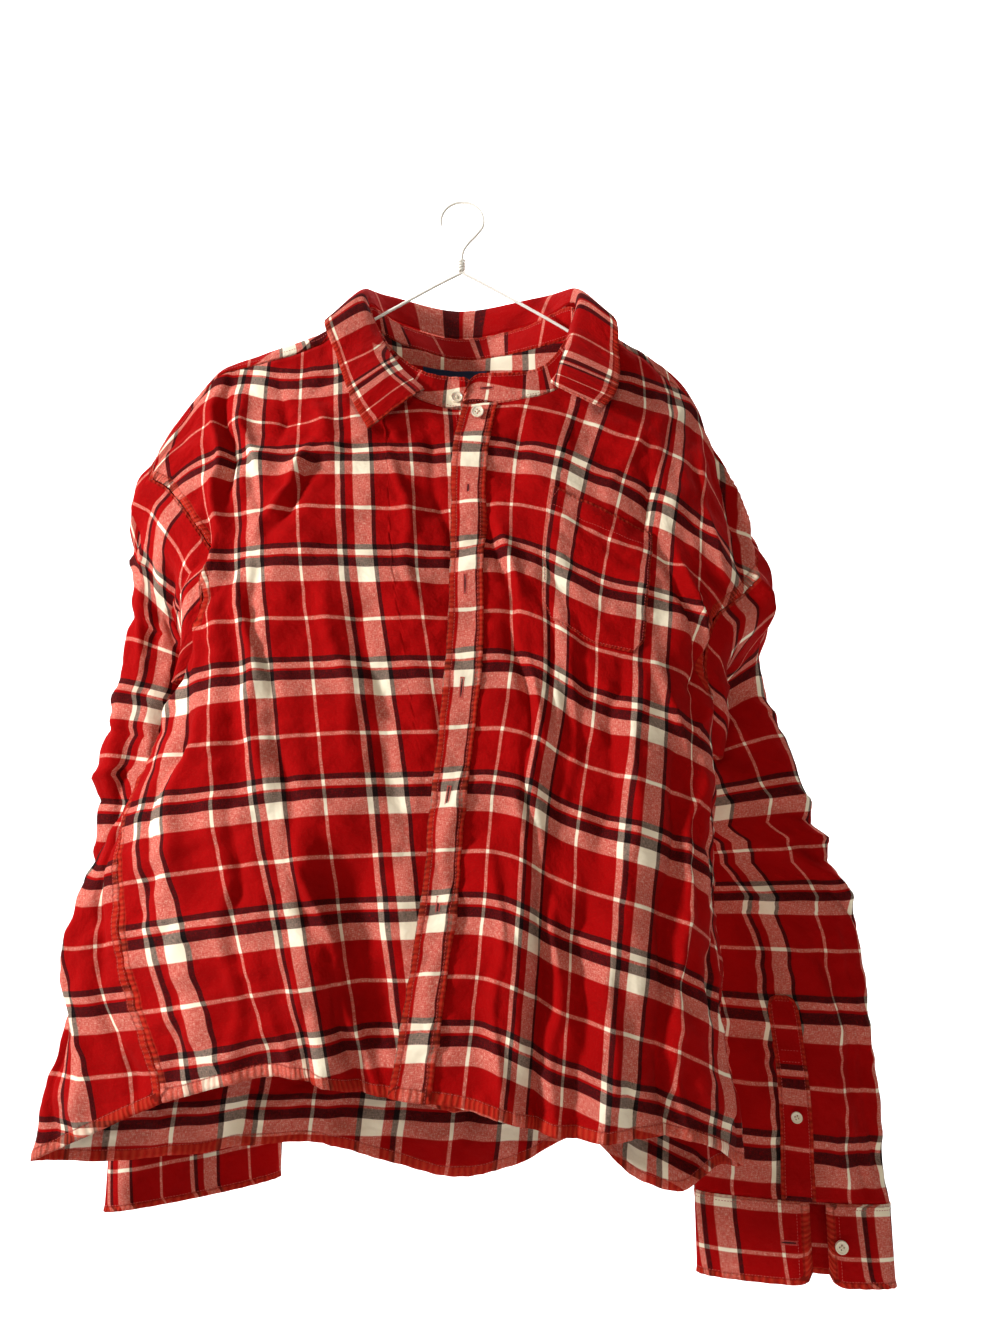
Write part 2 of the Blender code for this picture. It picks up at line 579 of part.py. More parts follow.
def sleeves():
    made = {}
    for side, ovals in (("right", SLEEVE_RIGHT), ("left", SLEEVE_LEFT)):
        sleeve = made[side] = Sleeve(side, ovals)
        lattice(f"sleeve_{side}", sleeve.turns, SLEEVE_WAYS,
                lambda degrees, way, sleeve=sleeve: sleeve.point(degrees, way * sleeve.length()),
                closed=True)
        opening = CUFF_OPENS_AT[side]
        lattice(f"cuff_{side}",
                np.linspace(opening + CUFF_OPENING / 2, opening + 360 - CUFF_OPENING / 2, 25),
                np.linspace(0, 1, 3),
                lambda degrees, way, sleeve=sleeve: cuff_point(sleeve, degrees, way),
                thickness=2.0)
        tower(side, sleeve, opening)
    return made


def tower(side, sleeve, opening):
    """The sleeve's placket: a strip with a pointed top, from the cuff up beside the opening."""
    start = opening + 1 if side == "left" else opening - TOWER_WIDTH - 1

    def place(share, way):
        narrow = 1 - 0.55 * np.clip(1 - way / 0.12, 0, 1)
        degrees = start + TOWER_WIDTH * (0.5 + (share - 0.5) * narrow)
        down = sleeve.length() - TOWER_LENGTH * (1 - way) - SEAM
        return sleeve.moved_out(degrees, down, LAYER)
    lattice(f"sleeve_placket_{side}", np.linspace(0, 1, 3),
            np.array((0, 0.12, 0.34, 0.56, 0.78, 1.0)), place)


def button(name, middle, facing, radius=BUTTON_RADIUS):
    """A round button with its back at middle, facing out along facing."""
    shape = bmesh.new()
    bmesh.ops.create_cone(shape, cap_ends=True, segments=14, radius1=radius * MM,
                          radius2=radius * 0.86 * MM, depth=BUTTON_THICK * MM)
    mesh = bpy.data.meshes.new(name)
    shape.to_mesh(mesh)
    shape.free()
    made = add(name, mesh, "button")
    made.rotation_euler = Vector(facing).to_track_quat("Z", "Y").to_euler()
    made.location = (Vector(middle) + Vector(facing) * BUTTON_THICK / 2) * MM


def buttons(made, band):
    """Buttons: the fastened one on the placket, the row under it, the band's and the sleeves'."""
    at = np.array((0.04,)), np.array((0.5,))
    facing = outward(lambda share, way: band(share / 100, way / 100), at[0] * 100, at[1] * 100)[0]
    facing *= -np.sign(facing[1])
    button("button_neck", band(*at)[0] + facing * 1.2, facing)

    def on_front(name, side, down, height):
        across = np.array((front_across(side, PLACKET / 2),))
        down = np.array((down,), float)
        facing = outward(body, across, down)[0]
        button(name, body(across, down)[0] + facing * height, facing)
    on_front("button_top", "left", TOP_BUTTON_DOWN, LAYER + 1.3)
    for number, down in enumerate(BUTTONHOLE_DOWN, 1):
        on_front(f"button_front_{number}", "right", down, 1.2)
    for side, sleeve in made.items():
        beyond = -1 if side == "left" else 1
        at = np.array((CUFF_OPENS_AT[side] + beyond * 13,))
        end = np.array((sleeve.length(),), float)
        facing = outward(sleeve.point, at, end)[0]
        middle = cuff_point(sleeve, at, np.array((0.5,)))[0]
        button(f"button_cuff_{side}", middle + facing * 1.9, facing)
        at = np.array((CUFF_OPENS_AT[side] - beyond * (1 + TOWER_WIDTH / 2),))
        down = end - TOWER_LENGTH * 0.37
        facing = outward(sleeve.point, at, down)[0]
        button(f"button_sleeve_{side}", sleeve.point(at, down)[0] + facing * (LAYER + 0.9),
               facing, SMALL_BUTTON_RADIUS)


def wire(name, points, closed=False):
    curve = bpy.data.curves.new(name, "CURVE")
    curve.dimensions = "3D"
    curve.bevel_depth = WIRE * MM
    curve.bevel_resolution = 2
    curve.use_fill_caps = not closed
    run = curve.splines.new("POLY")
    run.points.add(len(points) - 1)
    run.use_cyclic_u = closed
    for spot, point in zip(run.points, points):
        spot.co = (*(part * MM for part in point), 1)
    made = bpy.data.objects.new(name, curve)
    curve.materials.append(material("wire"))
    COLLECTION.objects.link(made)


def hanger():
    """The wire frame in the shoulders, and the hook that stands on its peak."""
    reach = np.linspace(0, ARM[-1][0], 12)
    arm = [(x, 0, z) for x, z in zip(reach, spline([x for x, _ in ARM], [z for _, z in ARM], reach))]
    end_x, end_z = arm[-1][0], arm[-1][2]
    end_middle = (end_z + BAR_DROP) / 2
    radius = (end_z - BAR_DROP) / 2
    loop = [(end_x + radius * math.sin(turn), 0, end_middle + radius * math.cos(turn))
            for turn in np.linspace(0, math.pi, 7)[1:]]
    half = arm[1:] + loop
    left = [(-x, y, z) for x, y, z in half]
    wire("hanger_frame", [arm[0]] + half + left[::-1], closed=True)
    top = -HOOK_RADIUS
    bend = [(HOOK_RADIUS * math.cos(turn), 0, top + HOOK_RADIUS * math.sin(turn) + WIRE)
            for turn in np.radians(np.linspace(-20, 195, 15))]
    stem = [(0, 0, ARM[0][1] + WIRE + 0.6), (0, 0, -62), (1.5, 0, -54), (7, 0, -45),
            (14, 0, -37)]
    wire("hanger_hook", stem + bend)


COLLECTION = bpy.data.collections.new("flannel_shirt")
for stale in list(bpy.data.objects):
    bpy.data.objects.remove(stale)
bpy.context.scene.collection.children.link(COLLECTION)
panels()
placket()
pocket()
label()
neckband = collar()
buttons(sleeves(), neckband)
hanger()
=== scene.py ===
"""The flannel shirt on its wire hanger, dressed: yarn-dyed check, creases, felled seams, stitching,
four-hole buttons, worked buttonholes, label and vinyl-coated wire.

The frame is the solids': metres, +Z up, the front faces -Y, and the origin is the underside of the
hook's top. "Right" and "left" are the wearer's. The cloth lies on the same surface as the solids,
body(across, down), in millimetres of the flat cut, with its smaller creases added.
"""

import math
from collections import namedtuple

import bpy
import numpy as np
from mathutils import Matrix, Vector


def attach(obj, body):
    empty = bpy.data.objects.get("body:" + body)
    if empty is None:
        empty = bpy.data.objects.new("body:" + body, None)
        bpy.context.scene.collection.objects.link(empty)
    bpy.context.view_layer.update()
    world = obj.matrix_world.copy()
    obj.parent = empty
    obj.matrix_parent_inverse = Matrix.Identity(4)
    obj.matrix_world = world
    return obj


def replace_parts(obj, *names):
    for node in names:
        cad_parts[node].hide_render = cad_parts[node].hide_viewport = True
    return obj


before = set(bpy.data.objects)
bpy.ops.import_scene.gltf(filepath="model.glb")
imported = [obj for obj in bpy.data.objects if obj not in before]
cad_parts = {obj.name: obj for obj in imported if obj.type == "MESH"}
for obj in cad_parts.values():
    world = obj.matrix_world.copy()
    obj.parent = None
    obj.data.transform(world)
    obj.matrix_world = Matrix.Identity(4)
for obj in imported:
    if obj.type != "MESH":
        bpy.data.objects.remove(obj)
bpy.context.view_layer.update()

MM = 0.001

# Driving dimensions, in millimetres.
CLOTH = 1.2             # thickness of one wall of brushed cotton
SEAM = 0.5              # from one piece's edge to the next, so that the walls stay apart
SLEEVE_SEAM = 1.0       # the same at an armhole, where the cloth turns at the seam
SLEEVE_START = 16.0     # the sleeve's first stretch, along its fall from the armhole
LAYER = 1.9             # from a panel's middle to the middle of a piece that lies on it
FRONT = 375.0           # width of one front, edge to side seam
BACK = 720.0            # width of the back, side seam to side seam
PLACKET = 30.0          # width of the front placket
NECK_HALF = 82.5        # centre line to neck point
NECK_DROP = 121.0       # neck points down to the front neck seam
NECK_BACK = 18.0        # neck points down to the back neck seam
SHOULDER_SLOPE = 0.3    # fall of the shoulder line per millimetre outwards
SHOULDER_AT = 345.0     # centre line to shoulder point
UNDERARM = 368.0        # neck points down to the underarm
YOKE_FRONT = 12.0       # the yoke reaches this far forward of the shoulder ridge
YOKE_BACK = 125.0       # neck points down to the yoke's back seam
RIDGE_LAP = 10.0        # the cloth bends over the shoulder ridge this far before and behind it
RIDGE_CREST = 20.0      # and its bend aims this far above it
NECK_CORNER = 3.5       # width of the step in the yoke's front edge at each neck point
CUFF_HEIGHT = 70.0
BUTTON_RADIUS, BUTTON_THICK = 5.8, 2.6
SMALL_BUTTON_RADIUS = 5.0
STITCH_HEIGHT = 0.12    # middle of a stitch above the cloth
WIRE = 1.5              # radius of the hanger's wire

SIDE_RIGHT = FRONT
SIDE_LEFT = FRONT + BACK
AROUND = 2 * FRONT + BACK
CENTRE_BACK = FRONT + BACK / 2

# Sections of the body: one row for each bar of the check, 108 apart down the cut. Each row gives
# the place (x, y, z) of the stations named beside it, in millimetres across the cut.
Section = namedtuple("Section", "down places")

RIGHT_FRONT_STATIONS = (0, 74, 179, 284)
RIGHT_FRONT = (
    Section(0, ((10, -12, -112), (-70, -4, -114), (-160, -1, -125), (-228, -2, -144))),
    Section(70, ((18, -16, -190), (-58, -20, -192), (-156, -13, -210), (-248, -7, -207))),
    Section(178, ((24, -12, -287), (-46, -22, -288), (-154, -26, -291), (-246, -16, -298))),
    Section(286, ((28, -20, -394), (-39, -27, -395), (-146, -33, -395), (-232, -26, -400))),
    Section(394, ((34, -24, -500), (-24, -30, -501), (-130, -38, -503), (-224, -34, -510))),
    Section(502, ((44, -26, -606), (-8, -32, -607), (-115, -42, -610), (-214, -42, -620))),
    Section(610, ((54, -28, -712), (3, -34, -714), (-99, -44, -717), (-186, -48, -726))),
    Section(718, ((64, -28, -818), (14, -34, -820), (-80, -42, -821), (-155, -42, -831))),
    Section(826, ((74, -28, -922), (24, -34, -922), (-62, -42, -924), (-132, -42, -934))),
)

SIDE_SEAM_RIGHT = (
    (-276, 4, -200), (-300, 7, -284), (-312, 12, -336), (-236, 24, -424), (-270, 18, -522),
    (-304, -2, -634), (-294, -14, -742), (-252, -20, -850), (-230, -22, -952),
)

BACK_STATIONS = (60, 120, 260, 360, 460, 600, 660)
BACK_PANEL = (
    Section(0, ((-256, 2, -168), (-214, 1, -140), (-116, 2, -129), (-4, 46, -131),
                (136, 2, -147), (214, 4, -168), (244, 12, -236))),
    Section(70, ((-272, 6, -232), (-226, 8, -204), (-112, 20, -208), (-4, 50, -201),
                 (128, 22, -216), (226, 12, -234), (254, 18, -296))),
    Section(178, ((-288, 16, -330), (-230, 24, -312), (-108, 38, -312), (-6, 52, -309),
                  (118, 42, -320), (222, 30, -342), (262, 26, -398))),
    Section(286, ((-256, 36, -424), (-214, 44, -415), (-100, 46, -417), (-8, 52, -417),
                  (106, 50, -426), (206, 44, -444), (238, 40, -486))),
    Section(394, ((-262, 38, -528), (-222, 50, -522), (-104, 50, -524), (-12, 52, -525),
                  (96, 54, -532), (196, 52, -548), (232, 44, -586))),
    Section(502, ((-318, 18, -640), (-292, 46, -634), (-140, 50, -632), (-34, 50, -632),
                  (74, 54, -638), (190, 54, -656), (230, 48, -692))),
    Section(610, ((-344, 4, -750), (-338, 38, -744), (-186, 46, -740), (-74, 48, -739),
                  (46, 54, -745), (182, 56, -764), (230, 48, -800))),
    Section(718, ((-308, -8, -856), (-360, 16, -858), (-226, 50, -850), (-108, 46, -846),
                  (14, 54, -850), (168, 60, -872), (228, 48, -904))),
    Section(826, ((-286, -14, -960), (-366, 18, -964), (-240, 54, -956), (-122, 48, -952),
                  (0, 58, -956), (158, 66, -980), (226, 50, -1008))),
)

SIDE_SEAM_LEFT = (
    (250, 12, -210), (274, 22, -330), (298, 10, -434), (240, 30, -504), (234, 26, -596),
    (234, 24, -704), (240, 22, -810), (248, 14, -910), (248, 8, -1010),
)

LEFT_FRONT_STATIONS = (264, 159, 54, 0)
LEFT_FRONT = (
    Section(0, ((212, 2, -166), (170, -2, -144), (80, -8, -132), (14, -16, -126))),
    Section(70, ((236, 5, -236), (181, -13, -217), (74, -23, -192), (10, -25, -190))),
    Section(178, ((228, -22, -366), (153, -30, -324), (54, -29, -288), (-6, -25, -284))),
    Section(286, ((222, -27, -450), (131, -39, -426), (48, -37, -389), (-7, -32, -392))),
    Section(394, ((214, -34, -560), (123, -43, -533), (49, -42, -498), (-11, -38, -499))),
    Section(502, ((206, -38, -668), (107, -47, -637), (33, -47, -607), (-20, -42, -608))),
    Section(610, ((192, -42, -772), (99, -51, -741), (25, -51, -711), (-30, -46, -713))),
    Section(718, ((181, -44, -875), (90, -53, -846), (14, -53, -815), (-46, -50, -817))),
    Section(826, ((172, -46, -977), (80, -55, -951), (2, -55, -920), (-62, -52, -922))),
)

# Folds of the body: a ridge line from one place of the cut to another, the half width it spreads
# over, and how far it stands out. A negative height is a trough.
Fold = namedtuple("Fold", "across0 down0 across1 down1 spread height")


def laid(rows, across=lambda at: at):
    """Folds from rows of six numbers, whose two ways across are turned into the cut's."""
    return tuple(Fold(across(row[0]), row[1], across(row[2]), *row[3:]) for row in rows)


def from_left_edge(at):
    return AROUND - at


FOLDS = laid((
    (240, 190, 262, 500, 30, -8), (200, 160, 262, 220, 26, 6), (166, 560, 172, 830, 34, -14),
    (212, 520, 228, 830, 34, 9), (90, 560, 104, 830, 40, 5), (330, 480, 340, 800, 34, 6),
    (560, 200, 540, 830, 46, 9), (650, 180, 640, 830, 48, -9), (735, 200, 730, 830, 44, 9),
    (820, 180, 826, 830, 48, -9), (900, 200, 916, 830, 46, 9),
)) + laid((
    (98, 360, 92, 820, 34, 7), (140, 420, 132, 820, 30, -6), (210, 400, 200, 820, 36, 7),
    (262, 300, 250, 820, 34, -6), (300, 380, 300, 820, 34, 6),
), from_left_edge)

# Armholes: across the front from its edge, and across the back from its centre line.
ARMHOLE_DOWN = (79, 130, 190, 250, 300, 340, 368)
ARMHOLE_FRONT = (362.5, 342, 318, 298, 290, 308, 375)
ARMHOLE_BACK = (345, 335, 325, 318, 318, 332, 360)

# Hems: millimetres down at places across each front and across the back.
HEM_FRONT_AT, HEM_FRONT = (0, 60, 180, 300, 375), (762, 772, 758, 731, 738)
HEM_BACK_AT = (0, 60, 120, 180, 260, 360, 410, 460, 510, 560, 600, 635, 665, 720)
HEM_BACK = (738, 756, 784, 798, 797, 795, 809, 820, 806, 778, 797, 790, 754, 738)

# Sleeves: flattened tubes. Each row gives the way down the sleeve, the tube's middle, half its
# width and half its depth, its turn in degrees about Z, and how far its outer end hangs lower.
Oval = namedtuple("Oval", "down x y z wide deep turn fall")
SLEEVE_RIGHT = (
    Oval(110, -284, 67, -438, 50, 23, 30, -62),
    Oval(225, -261, 93, -490, 84, 27, 27, -26),
    Oval(335, -270, 99, -583, 91, 26, 25, -8),
    Oval(445, -268, 100, -691, 88, 25, 20, -2),
    Oval(545, -262, 98, -790, 80, 22, 12, 4),
    Oval(625, -255, 96, -870, 78, 20, 6, 9),
    Oval(660, -250, 95, -905, 80, 18, 3, 14),
)
SLEEVE_LEFT = (
    Oval(110, 257, 75, -520, 46, 23, -34, -36),
    Oval(205, 256, 92, -572, 74, 27, -31, -18),
    Oval(295, 274, 96, -650, 84, 27, -27, -6),
    Oval(385, 301, 93, -725, 84, 27, -20, 0),
    Oval(475, 309, 86, -805, 80, 24, -14, 2),
    Oval(565, 312, 80, -890, 80, 20, -8, 4),
    Oval(640, 309, 78, -972, 88, 16, -4, 4),
)
CUFF_OPENING = 10.0     # degrees between the two ends of an unbuttoned cuff
CUFF_OPENS_AT = {"right": 283.0, "left": 257.0}  # degrees round each sleeve from its inner end
TOWER_WIDTH, TOWER_LENGTH = 20.0, 178.0          # of the sleeve's placket: degrees, millimetres

# The collar, from the right front end round the neck to the left one, in shares of its length.
Fall = namedtuple("Fall", "share seam crest edge")
COLLAR = (
    Fall(0.00, (-34, -27, -220), (-43, -34, -229), (-86, -38, -266)),
    Fall(0.14, (-60, -24, -193), (-70, -32, -203), (-104, -36, -232)),
    Fall(0.26, (-80, -16, -156), (-88, -22, -166), (-120, -27, -186)),
    Fall(0.36, (-92, -3, -115), (-99, -6, -103), (-134, -12, -139)),
    Fall(0.44, (-64, 40, -113), (-76, 40, -82), (-106, 57, -133)),
    Fall(0.50, (-4, 58.0, -120.2), (-4, 66, -84), (-4, 84, -147)),
    Fall(0.56, (66, 44, -113), (80, 42, -82), (108, 61, -135)),
    Fall(0.64, (112, -2, -113), (117, -5, -101), (148, -14, -136)),
    Fall(0.74, (106, -15, -158), (112, -22, -156), (155, -26, -184)),
    Fall(0.86, (98, -22, -194), (99, -32, -196), (152, -36, -222)),
    Fall(1.00, (88, -25.2, -212), (94, -34, -221), (137, -40, -246)),
)
# Top edge of the neckband, in shares of the neck seam's length.
BAND_SHARES = (0.0, 0.12, 0.22, 0.32, 0.41, 0.50, 0.59, 0.68, 0.78, 0.88, 1.0)
BAND_TOP = (
    (14, -12, -202), (-38, -17, -196), (-72, -13, -165), (-91, -1, -118), (-60, 38, -118),
    (-4, 56, -122), (62, 40, -118), (111, 0, -117), (101, -13, -165), (74, -20, -196),
    (8, -24, -202),
)

# The hanger: its right-hand arm from the middle outwards, mirrored for the other one.
ARM = ((0, -79), (20, -90), (52, -109), (100, -138.5), (124, -153.9), (182, -180), (190, -184))
BAR_DROP = -201.0
HOOK_RADIUS = 22.0
STEM = ((0, -62), (1.5, -54), (7, -45), (14, -37))     # from the twist up to the hook's bend

BUTTONHOLE_DOWN = (216, 314, 411, 508, 605)
POCKET = {"across": 90.0, "down": 206.0, "width": 114.0, "height": 130.0, "corner": 9.0}
LABEL = {"from": -32.0, "to": 22.0, "top": 31.0, "bottom": 57.0}


def spline(knots, values, at):
    """Values on a smooth curve through the knots, read at each place; straight on past its ends."""
    knots, values, at = (np.asarray(part, float) for part in (knots, values, at))
    steps = np.diff(knots).reshape((-1,) + (1,) * (values.ndim - 1))
    slopes = np.diff(values, axis=0) / steps
    leans = np.empty_like(values)
    leans[0], leans[-1] = slopes[0], slopes[-1]
    leans[1:-1] = (slopes[:-1] * steps[1:] + slopes[1:] * steps[:-1]) / (steps[:-1] + steps[1:])
    low = np.clip(np.searchsorted(knots, at, side="right") - 1, 0, len(knots) - 2)
    shape = (-1,) + (1,) * (values.ndim - 1)
    step = (knots[low + 1] - knots[low]).reshape(shape)
    way = ((at - knots[low]) / (knots[low + 1] - knots[low])).reshape(shape)
    inside = np.clip(way, 0, 1)
    found = ((1 + 2 * inside) * (1 - inside) ** 2 * values[low]
             + inside * (1 - inside) ** 2 * step * leans[low]
             + inside ** 2 * (3 - 2 * inside) * values[low + 1]
             + inside ** 2 * (inside - 1) * step * leans[low + 1])
    beyond = (way - inside) * step
    return found + beyond * np.where(way > 1, leans[low + 1], leans[low])


def units(vectors):
    return vectors / np.linalg.norm(vectors, axis=1)[:, None]


def along_path(path):
    """Distances along a path of places, from its first."""
    steps = np.linalg.norm(np.diff(path, axis=0), axis=1)
    return np.concatenate(((0,), np.cumsum(steps)))


def read_path(at, stops, path):
    """Places on a path of straight stretches, read at these stops."""
    return np.stack([np.interp(at, stops, path[:, axis]) for axis in range(path.shape[1])], axis=1)


STATIONS = (RIGHT_FRONT_STATIONS + (SIDE_RIGHT,)
            + tuple(SIDE_RIGHT + at for at in BACK_STATIONS) + (SIDE_LEFT,)
            + tuple(AROUND - at for at in LEFT_FRONT_STATIONS))
LEVELS = tuple(row.down for row in RIGHT_FRONT)
PLACES = np.array([
    right.places + (seam_right,) + back.places + (seam_left,) + left.places
    for right, seam_right, back, seam_left, left in zip(
        RIGHT_FRONT, SIDE_SEAM_RIGHT, BACK_PANEL, SIDE_SEAM_LEFT, LEFT_FRONT)], float)


def smooth_body(across, down):
    """The body before its folds."""
    by_station = spline(STATIONS, np.eye(len(STATIONS)), across)
    by_level = spline(LEVELS, np.eye(len(LEVELS)), down)
    return np.einsum("nl,ns,lsc->nc", by_level, by_station, PLACES)


def outward(surface, first, second):
    """Unit normals of a surface that takes two arrays."""
    here = surface(first, second)
    return units(np.cross(surface(first + 1, second) - here, surface(first, second + 1) - here))


def fold_height(fold, across, down):
    along = np.array((fold.across1 - fold.across0, fold.down1 - fold.down0), float)
    length = np.linalg.norm(along)
    along /= length
    reach = (across - fold.across0) * along[0] + (down - fold.down0) * along[1]
    aside = (across - fold.across0) * along[1] - (down - fold.down0) * along[0]
    ends = np.clip(np.minimum(reach, length - reach) / 60, -0.5, 0.5) + 0.5
    bump = np.where(np.abs(aside) < fold.spread, np.cos(aside / fold.spread * math.pi) + 1, 0) / 2
    return fold.height * bump * ends * ends * (3 - 2 * ends)


# The smaller creases of the dressed cloth, in the same terms: hung, washed and never ironed.
CREASES = laid((
    # The wearer's right front: drag lines from the button and the armhole, then long soft folds.
    (212, 244, 164, 164, 9, 6.5), (204, 252, 160, 182, 8, -5), (186, 192, 120, 150, 9, 4),
    (260, 76, 254, 214, 9, -7), (270, 90, 266, 230, 9, 5), (240, 90, 226, 190, 9, 4),
    (252, 150, 210, 235, 10, -4.5), (228, 282, 222, 420, 10, -5), (240, 300, 238, 470, 11, 5),
    (214, 430, 214, 620, 11, -5), (212, 560, 186, 640, 11, 7), (190, 630, 170, 770, 12, 6),
    (200, 640, 184, 775, 10, -6.5), (150, 640, 132, 775, 12, -5), (110, 650, 100, 776, 12, 5),
    (70, 640, 52, 770, 11, -4.5), (30, 560, 34, 770, 10, 4), (334, 700, 320, 722, 8, 5),
    (300, 420, 326, 560, 12, 5), (320, 420, 350, 590, 11, -5), (262, 500, 300, 690, 12, -5),
    (284, 560, 310, 735, 12, 5), (60, 150, 30, 300, 10, -3.5), (90, 170, 76, 330, 11, 3.5),
    (130, 330, 118, 520, 12, -3.5), (160, 300, 150, 480, 12, 3), (48, 380, 60, 560, 11, 3),
    (290, 240, 330, 330, 9, -5), (278, 260, 312, 372, 9, 5), (300, 330, 355, 420, 9, 4),
    (130, 84, 100, 150, 9, -3), (170, 90, 150, 150, 9, 3), (200, 76, 196, 150, 8, -3.5),
    (330, 590, 358, 720, 10, -4), (230, 690, 246, 745, 9, -5), (268, 690, 262, 745, 9, 4),
)) + laid((
    # The wearer's left front: the pocket pulls, and long folds fall from it and from the shoulder.
    (34, 238, 56, 362, 7, -5.5), (54, 350, 88, 470, 8, -6), (84, 458, 122, 600, 9, -6),
    (46, 250, 66, 380, 8, 3.5), (70, 380, 104, 500, 9, 4), (118, 590, 134, 770, 11, -5),
    (140, 580, 152, 770, 11, 5), (238, 226, 280, 296, 8, 6.5), (226, 240, 262, 304, 7, -5),
    (186, 160, 192, 204, 7, -5), (308, 72, 336, 182, 9, 6), (296, 80, 318, 180, 8, -4.5),
    (258, 90, 286, 200, 9, 3.5), (222, 344, 252, 404, 8, 5), (276, 424, 256, 498, 9, 6),
    (256, 488, 266, 594, 9, 6.5), (266, 582, 256, 638, 9, 6), (258, 626, 282, 742, 10, 6.5),
    (242, 420, 240, 600, 10, -5.5), (240, 580, 262, 745, 10, -5.5), (300, 430, 308, 620, 10, -4.5),
    (316, 560, 330, 720, 10, 5), (180, 344, 186, 520, 10, -4), (200, 360, 206, 560, 10, 4),
    (168, 560, 180, 770, 11, -4.5), (196, 600, 206, 760, 11, 5), (96, 336, 112, 440, 8, -3.5),
    (130, 345, 146, 500, 10, 3.5), (290, 300, 262, 352, 8, -4.5), (304, 320, 276, 388, 8, 4.5),
    (20, 480, 22, 740, 9, 2.5), (64, 560, 84, 760, 10, 4), (220, 690, 226, 755, 8, -4.5),
    (345, 600, 352, 730, 9, -4), (60, 130, 52, 210, 8, -2.5), (160, 96, 150, 190, 9, 2.5),
), from_left_edge) + laid((
    # The back: long falls from the yoke and drags from the armholes.
    (430, 240, 470, 360, 10, 5), (444, 250, 492, 380, 9, -5), (500, 160, 492, 420, 12, 5),
    (524, 150, 520, 380, 11, -4), (580, 380, 566, 720, 13, 5), (610, 420, 600, 780, 12, -5.5),
    (690, 140, 694, 400, 12, -4.5), (714, 150, 712, 460, 12, 4), (760, 150, 772, 480, 12, -5),
    (786, 200, 800, 700, 13, 4.5), (860, 260, 872, 640, 12, 5), (884, 240, 900, 600, 11, -5),
    (940, 160, 950, 400, 12, 4.5), (1010, 250, 968, 370, 10, 5.5), (1024, 270, 984, 400, 9, -5),
    (1040, 420, 1050, 740, 12, 5), (400, 420, 404, 740, 12, -5), (440, 500, 452, 770, 12, 5.5),
    (490, 540, 484, 790, 12, -5), (660, 560, 668, 800, 12, 5), (740, 600, 736, 810, 12, -5),
    (830, 620, 838, 800, 12, 5), (960, 560, 976, 790, 12, -5.5), (1006, 600, 1020, 770, 11, 5),
))


def crease_height(fold, across, down):
    """A crease bows a little along its run and has a sharper crest than the solids' soft folds."""
    aside = 5.0 * np.sin((across + 1.7 * down) / 31.0 + fold.spread)
    sharp = fold._replace(spread=fold.spread * 0.8, height=fold.height * 0.7)
    wide = fold._replace(spread=fold.spread * 2.0, height=fold.height * 0.8)
    return fold_height(sharp, across + aside, down) + fold_height(wide, across + aside, down)


# Ripples of washed cloth: from one crest to the next, and how tall, in millimetres.
RIPPLES = ((150, 1.4), (110, 1.3), (70, 1.1), (46, 0.85), (34, 0.6), (24, 0.4), (17, 0.25))
RIPPLE_SHARE = 0.62     # of those heights, since three ripples of each length add up


def soft_ripples(across, down):
    """The slight unevenness of washed cloth: a few long waves and many short ones."""
    random = np.random.default_rng(7)
    height = np.zeros_like(down)
    for length, tall in RIPPLES:
        for _ in range(3):
            turn, start, lean = (random.uniform(0, most) for most in (math.pi, 6.3, 6.3))
            way = across * math.cos(turn) + down * math.sin(turn)
            aside = down * math.cos(turn) - across * math.sin(turn)
            height = height + tall * RIPPLE_SHARE * np.sin(
                way / length * 2 * math.pi + start + 1.5 * np.sin(aside / length * 2.3 + lean))
    return height


def body(across, down):
    height = sum(fold_height(fold, across, down) for fold in FOLDS)
    height = height + sum(crease_height(fold, across, down) for fold in CREASES)
    height = height + soft_ripples(across, down)
    return smooth_body(across, down) + outward(smooth_body, across, down) * height[:, None]


def front_across(side, from_edge):
    return from_edge if side == "right" else AROUND - from_edge


def shoulder_down(from_centre):
    return np.maximum(from_centre - NECK_HALF, 0) * SHOULDER_SLOPE


def neckline(from_edge):
    """The front neck seam: level past the centre line, then a flattened quarter round."""
    way = np.clip((from_edge - PLACKET / 2) / NECK_HALF, 0, 1)
    return NECK_DROP * (1 - way ** 2.6) ** (1 / 2.6)


def front_top(from_edge):
    return np.maximum(neckline(from_edge),
                      shoulder_down(from_edge - PLACKET / 2) + YOKE_FRONT)


def front_side(down):
    return np.where(down < UNDERARM, spline(ARMHOLE_DOWN, ARMHOLE_FRONT, down), FRONT)


def back_side(down):
    return np.where(down < UNDERARM, spline(ARMHOLE_DOWN, ARMHOLE_BACK, down), BACK / 2)


def drawn_in(share, width, side):
    """Where a column lies when the panel's side is cut in from its full width: only the columns
    of the outer half give way."""
    bend = np.clip(np.abs(share) * 2 - 1, 0, 1) ** 2
    return share * width - np.sign(share) * (width - side + SEAM / 2) * bend


def shares_at(places, width, side):
    """The columns that lie at these places when the side is cut in."""
    shares = np.asarray(places, float) / width
    for _ in range(40):
        shares = shares + (places - drawn_in(shares, width, side)) / width
    return shares


def front_point(side, share, way):
    """A front, from its edge (share 0) to its side and from its top (way 0) to its hem."""
    top = front_top(drawn_in(share, FRONT, FRONT_TOP_SIDE))
    hem = spline(HEM_FRONT_AT, HEM_FRONT, share * FRONT)
    down = top + (hem - top) * way
    at_side = FRONT_TOP_DOWN + (HEM_FRONT[-1] - FRONT_TOP_DOWN) * way
    return front_across(side, drawn_in(share, FRONT, front_side(at_side))), down


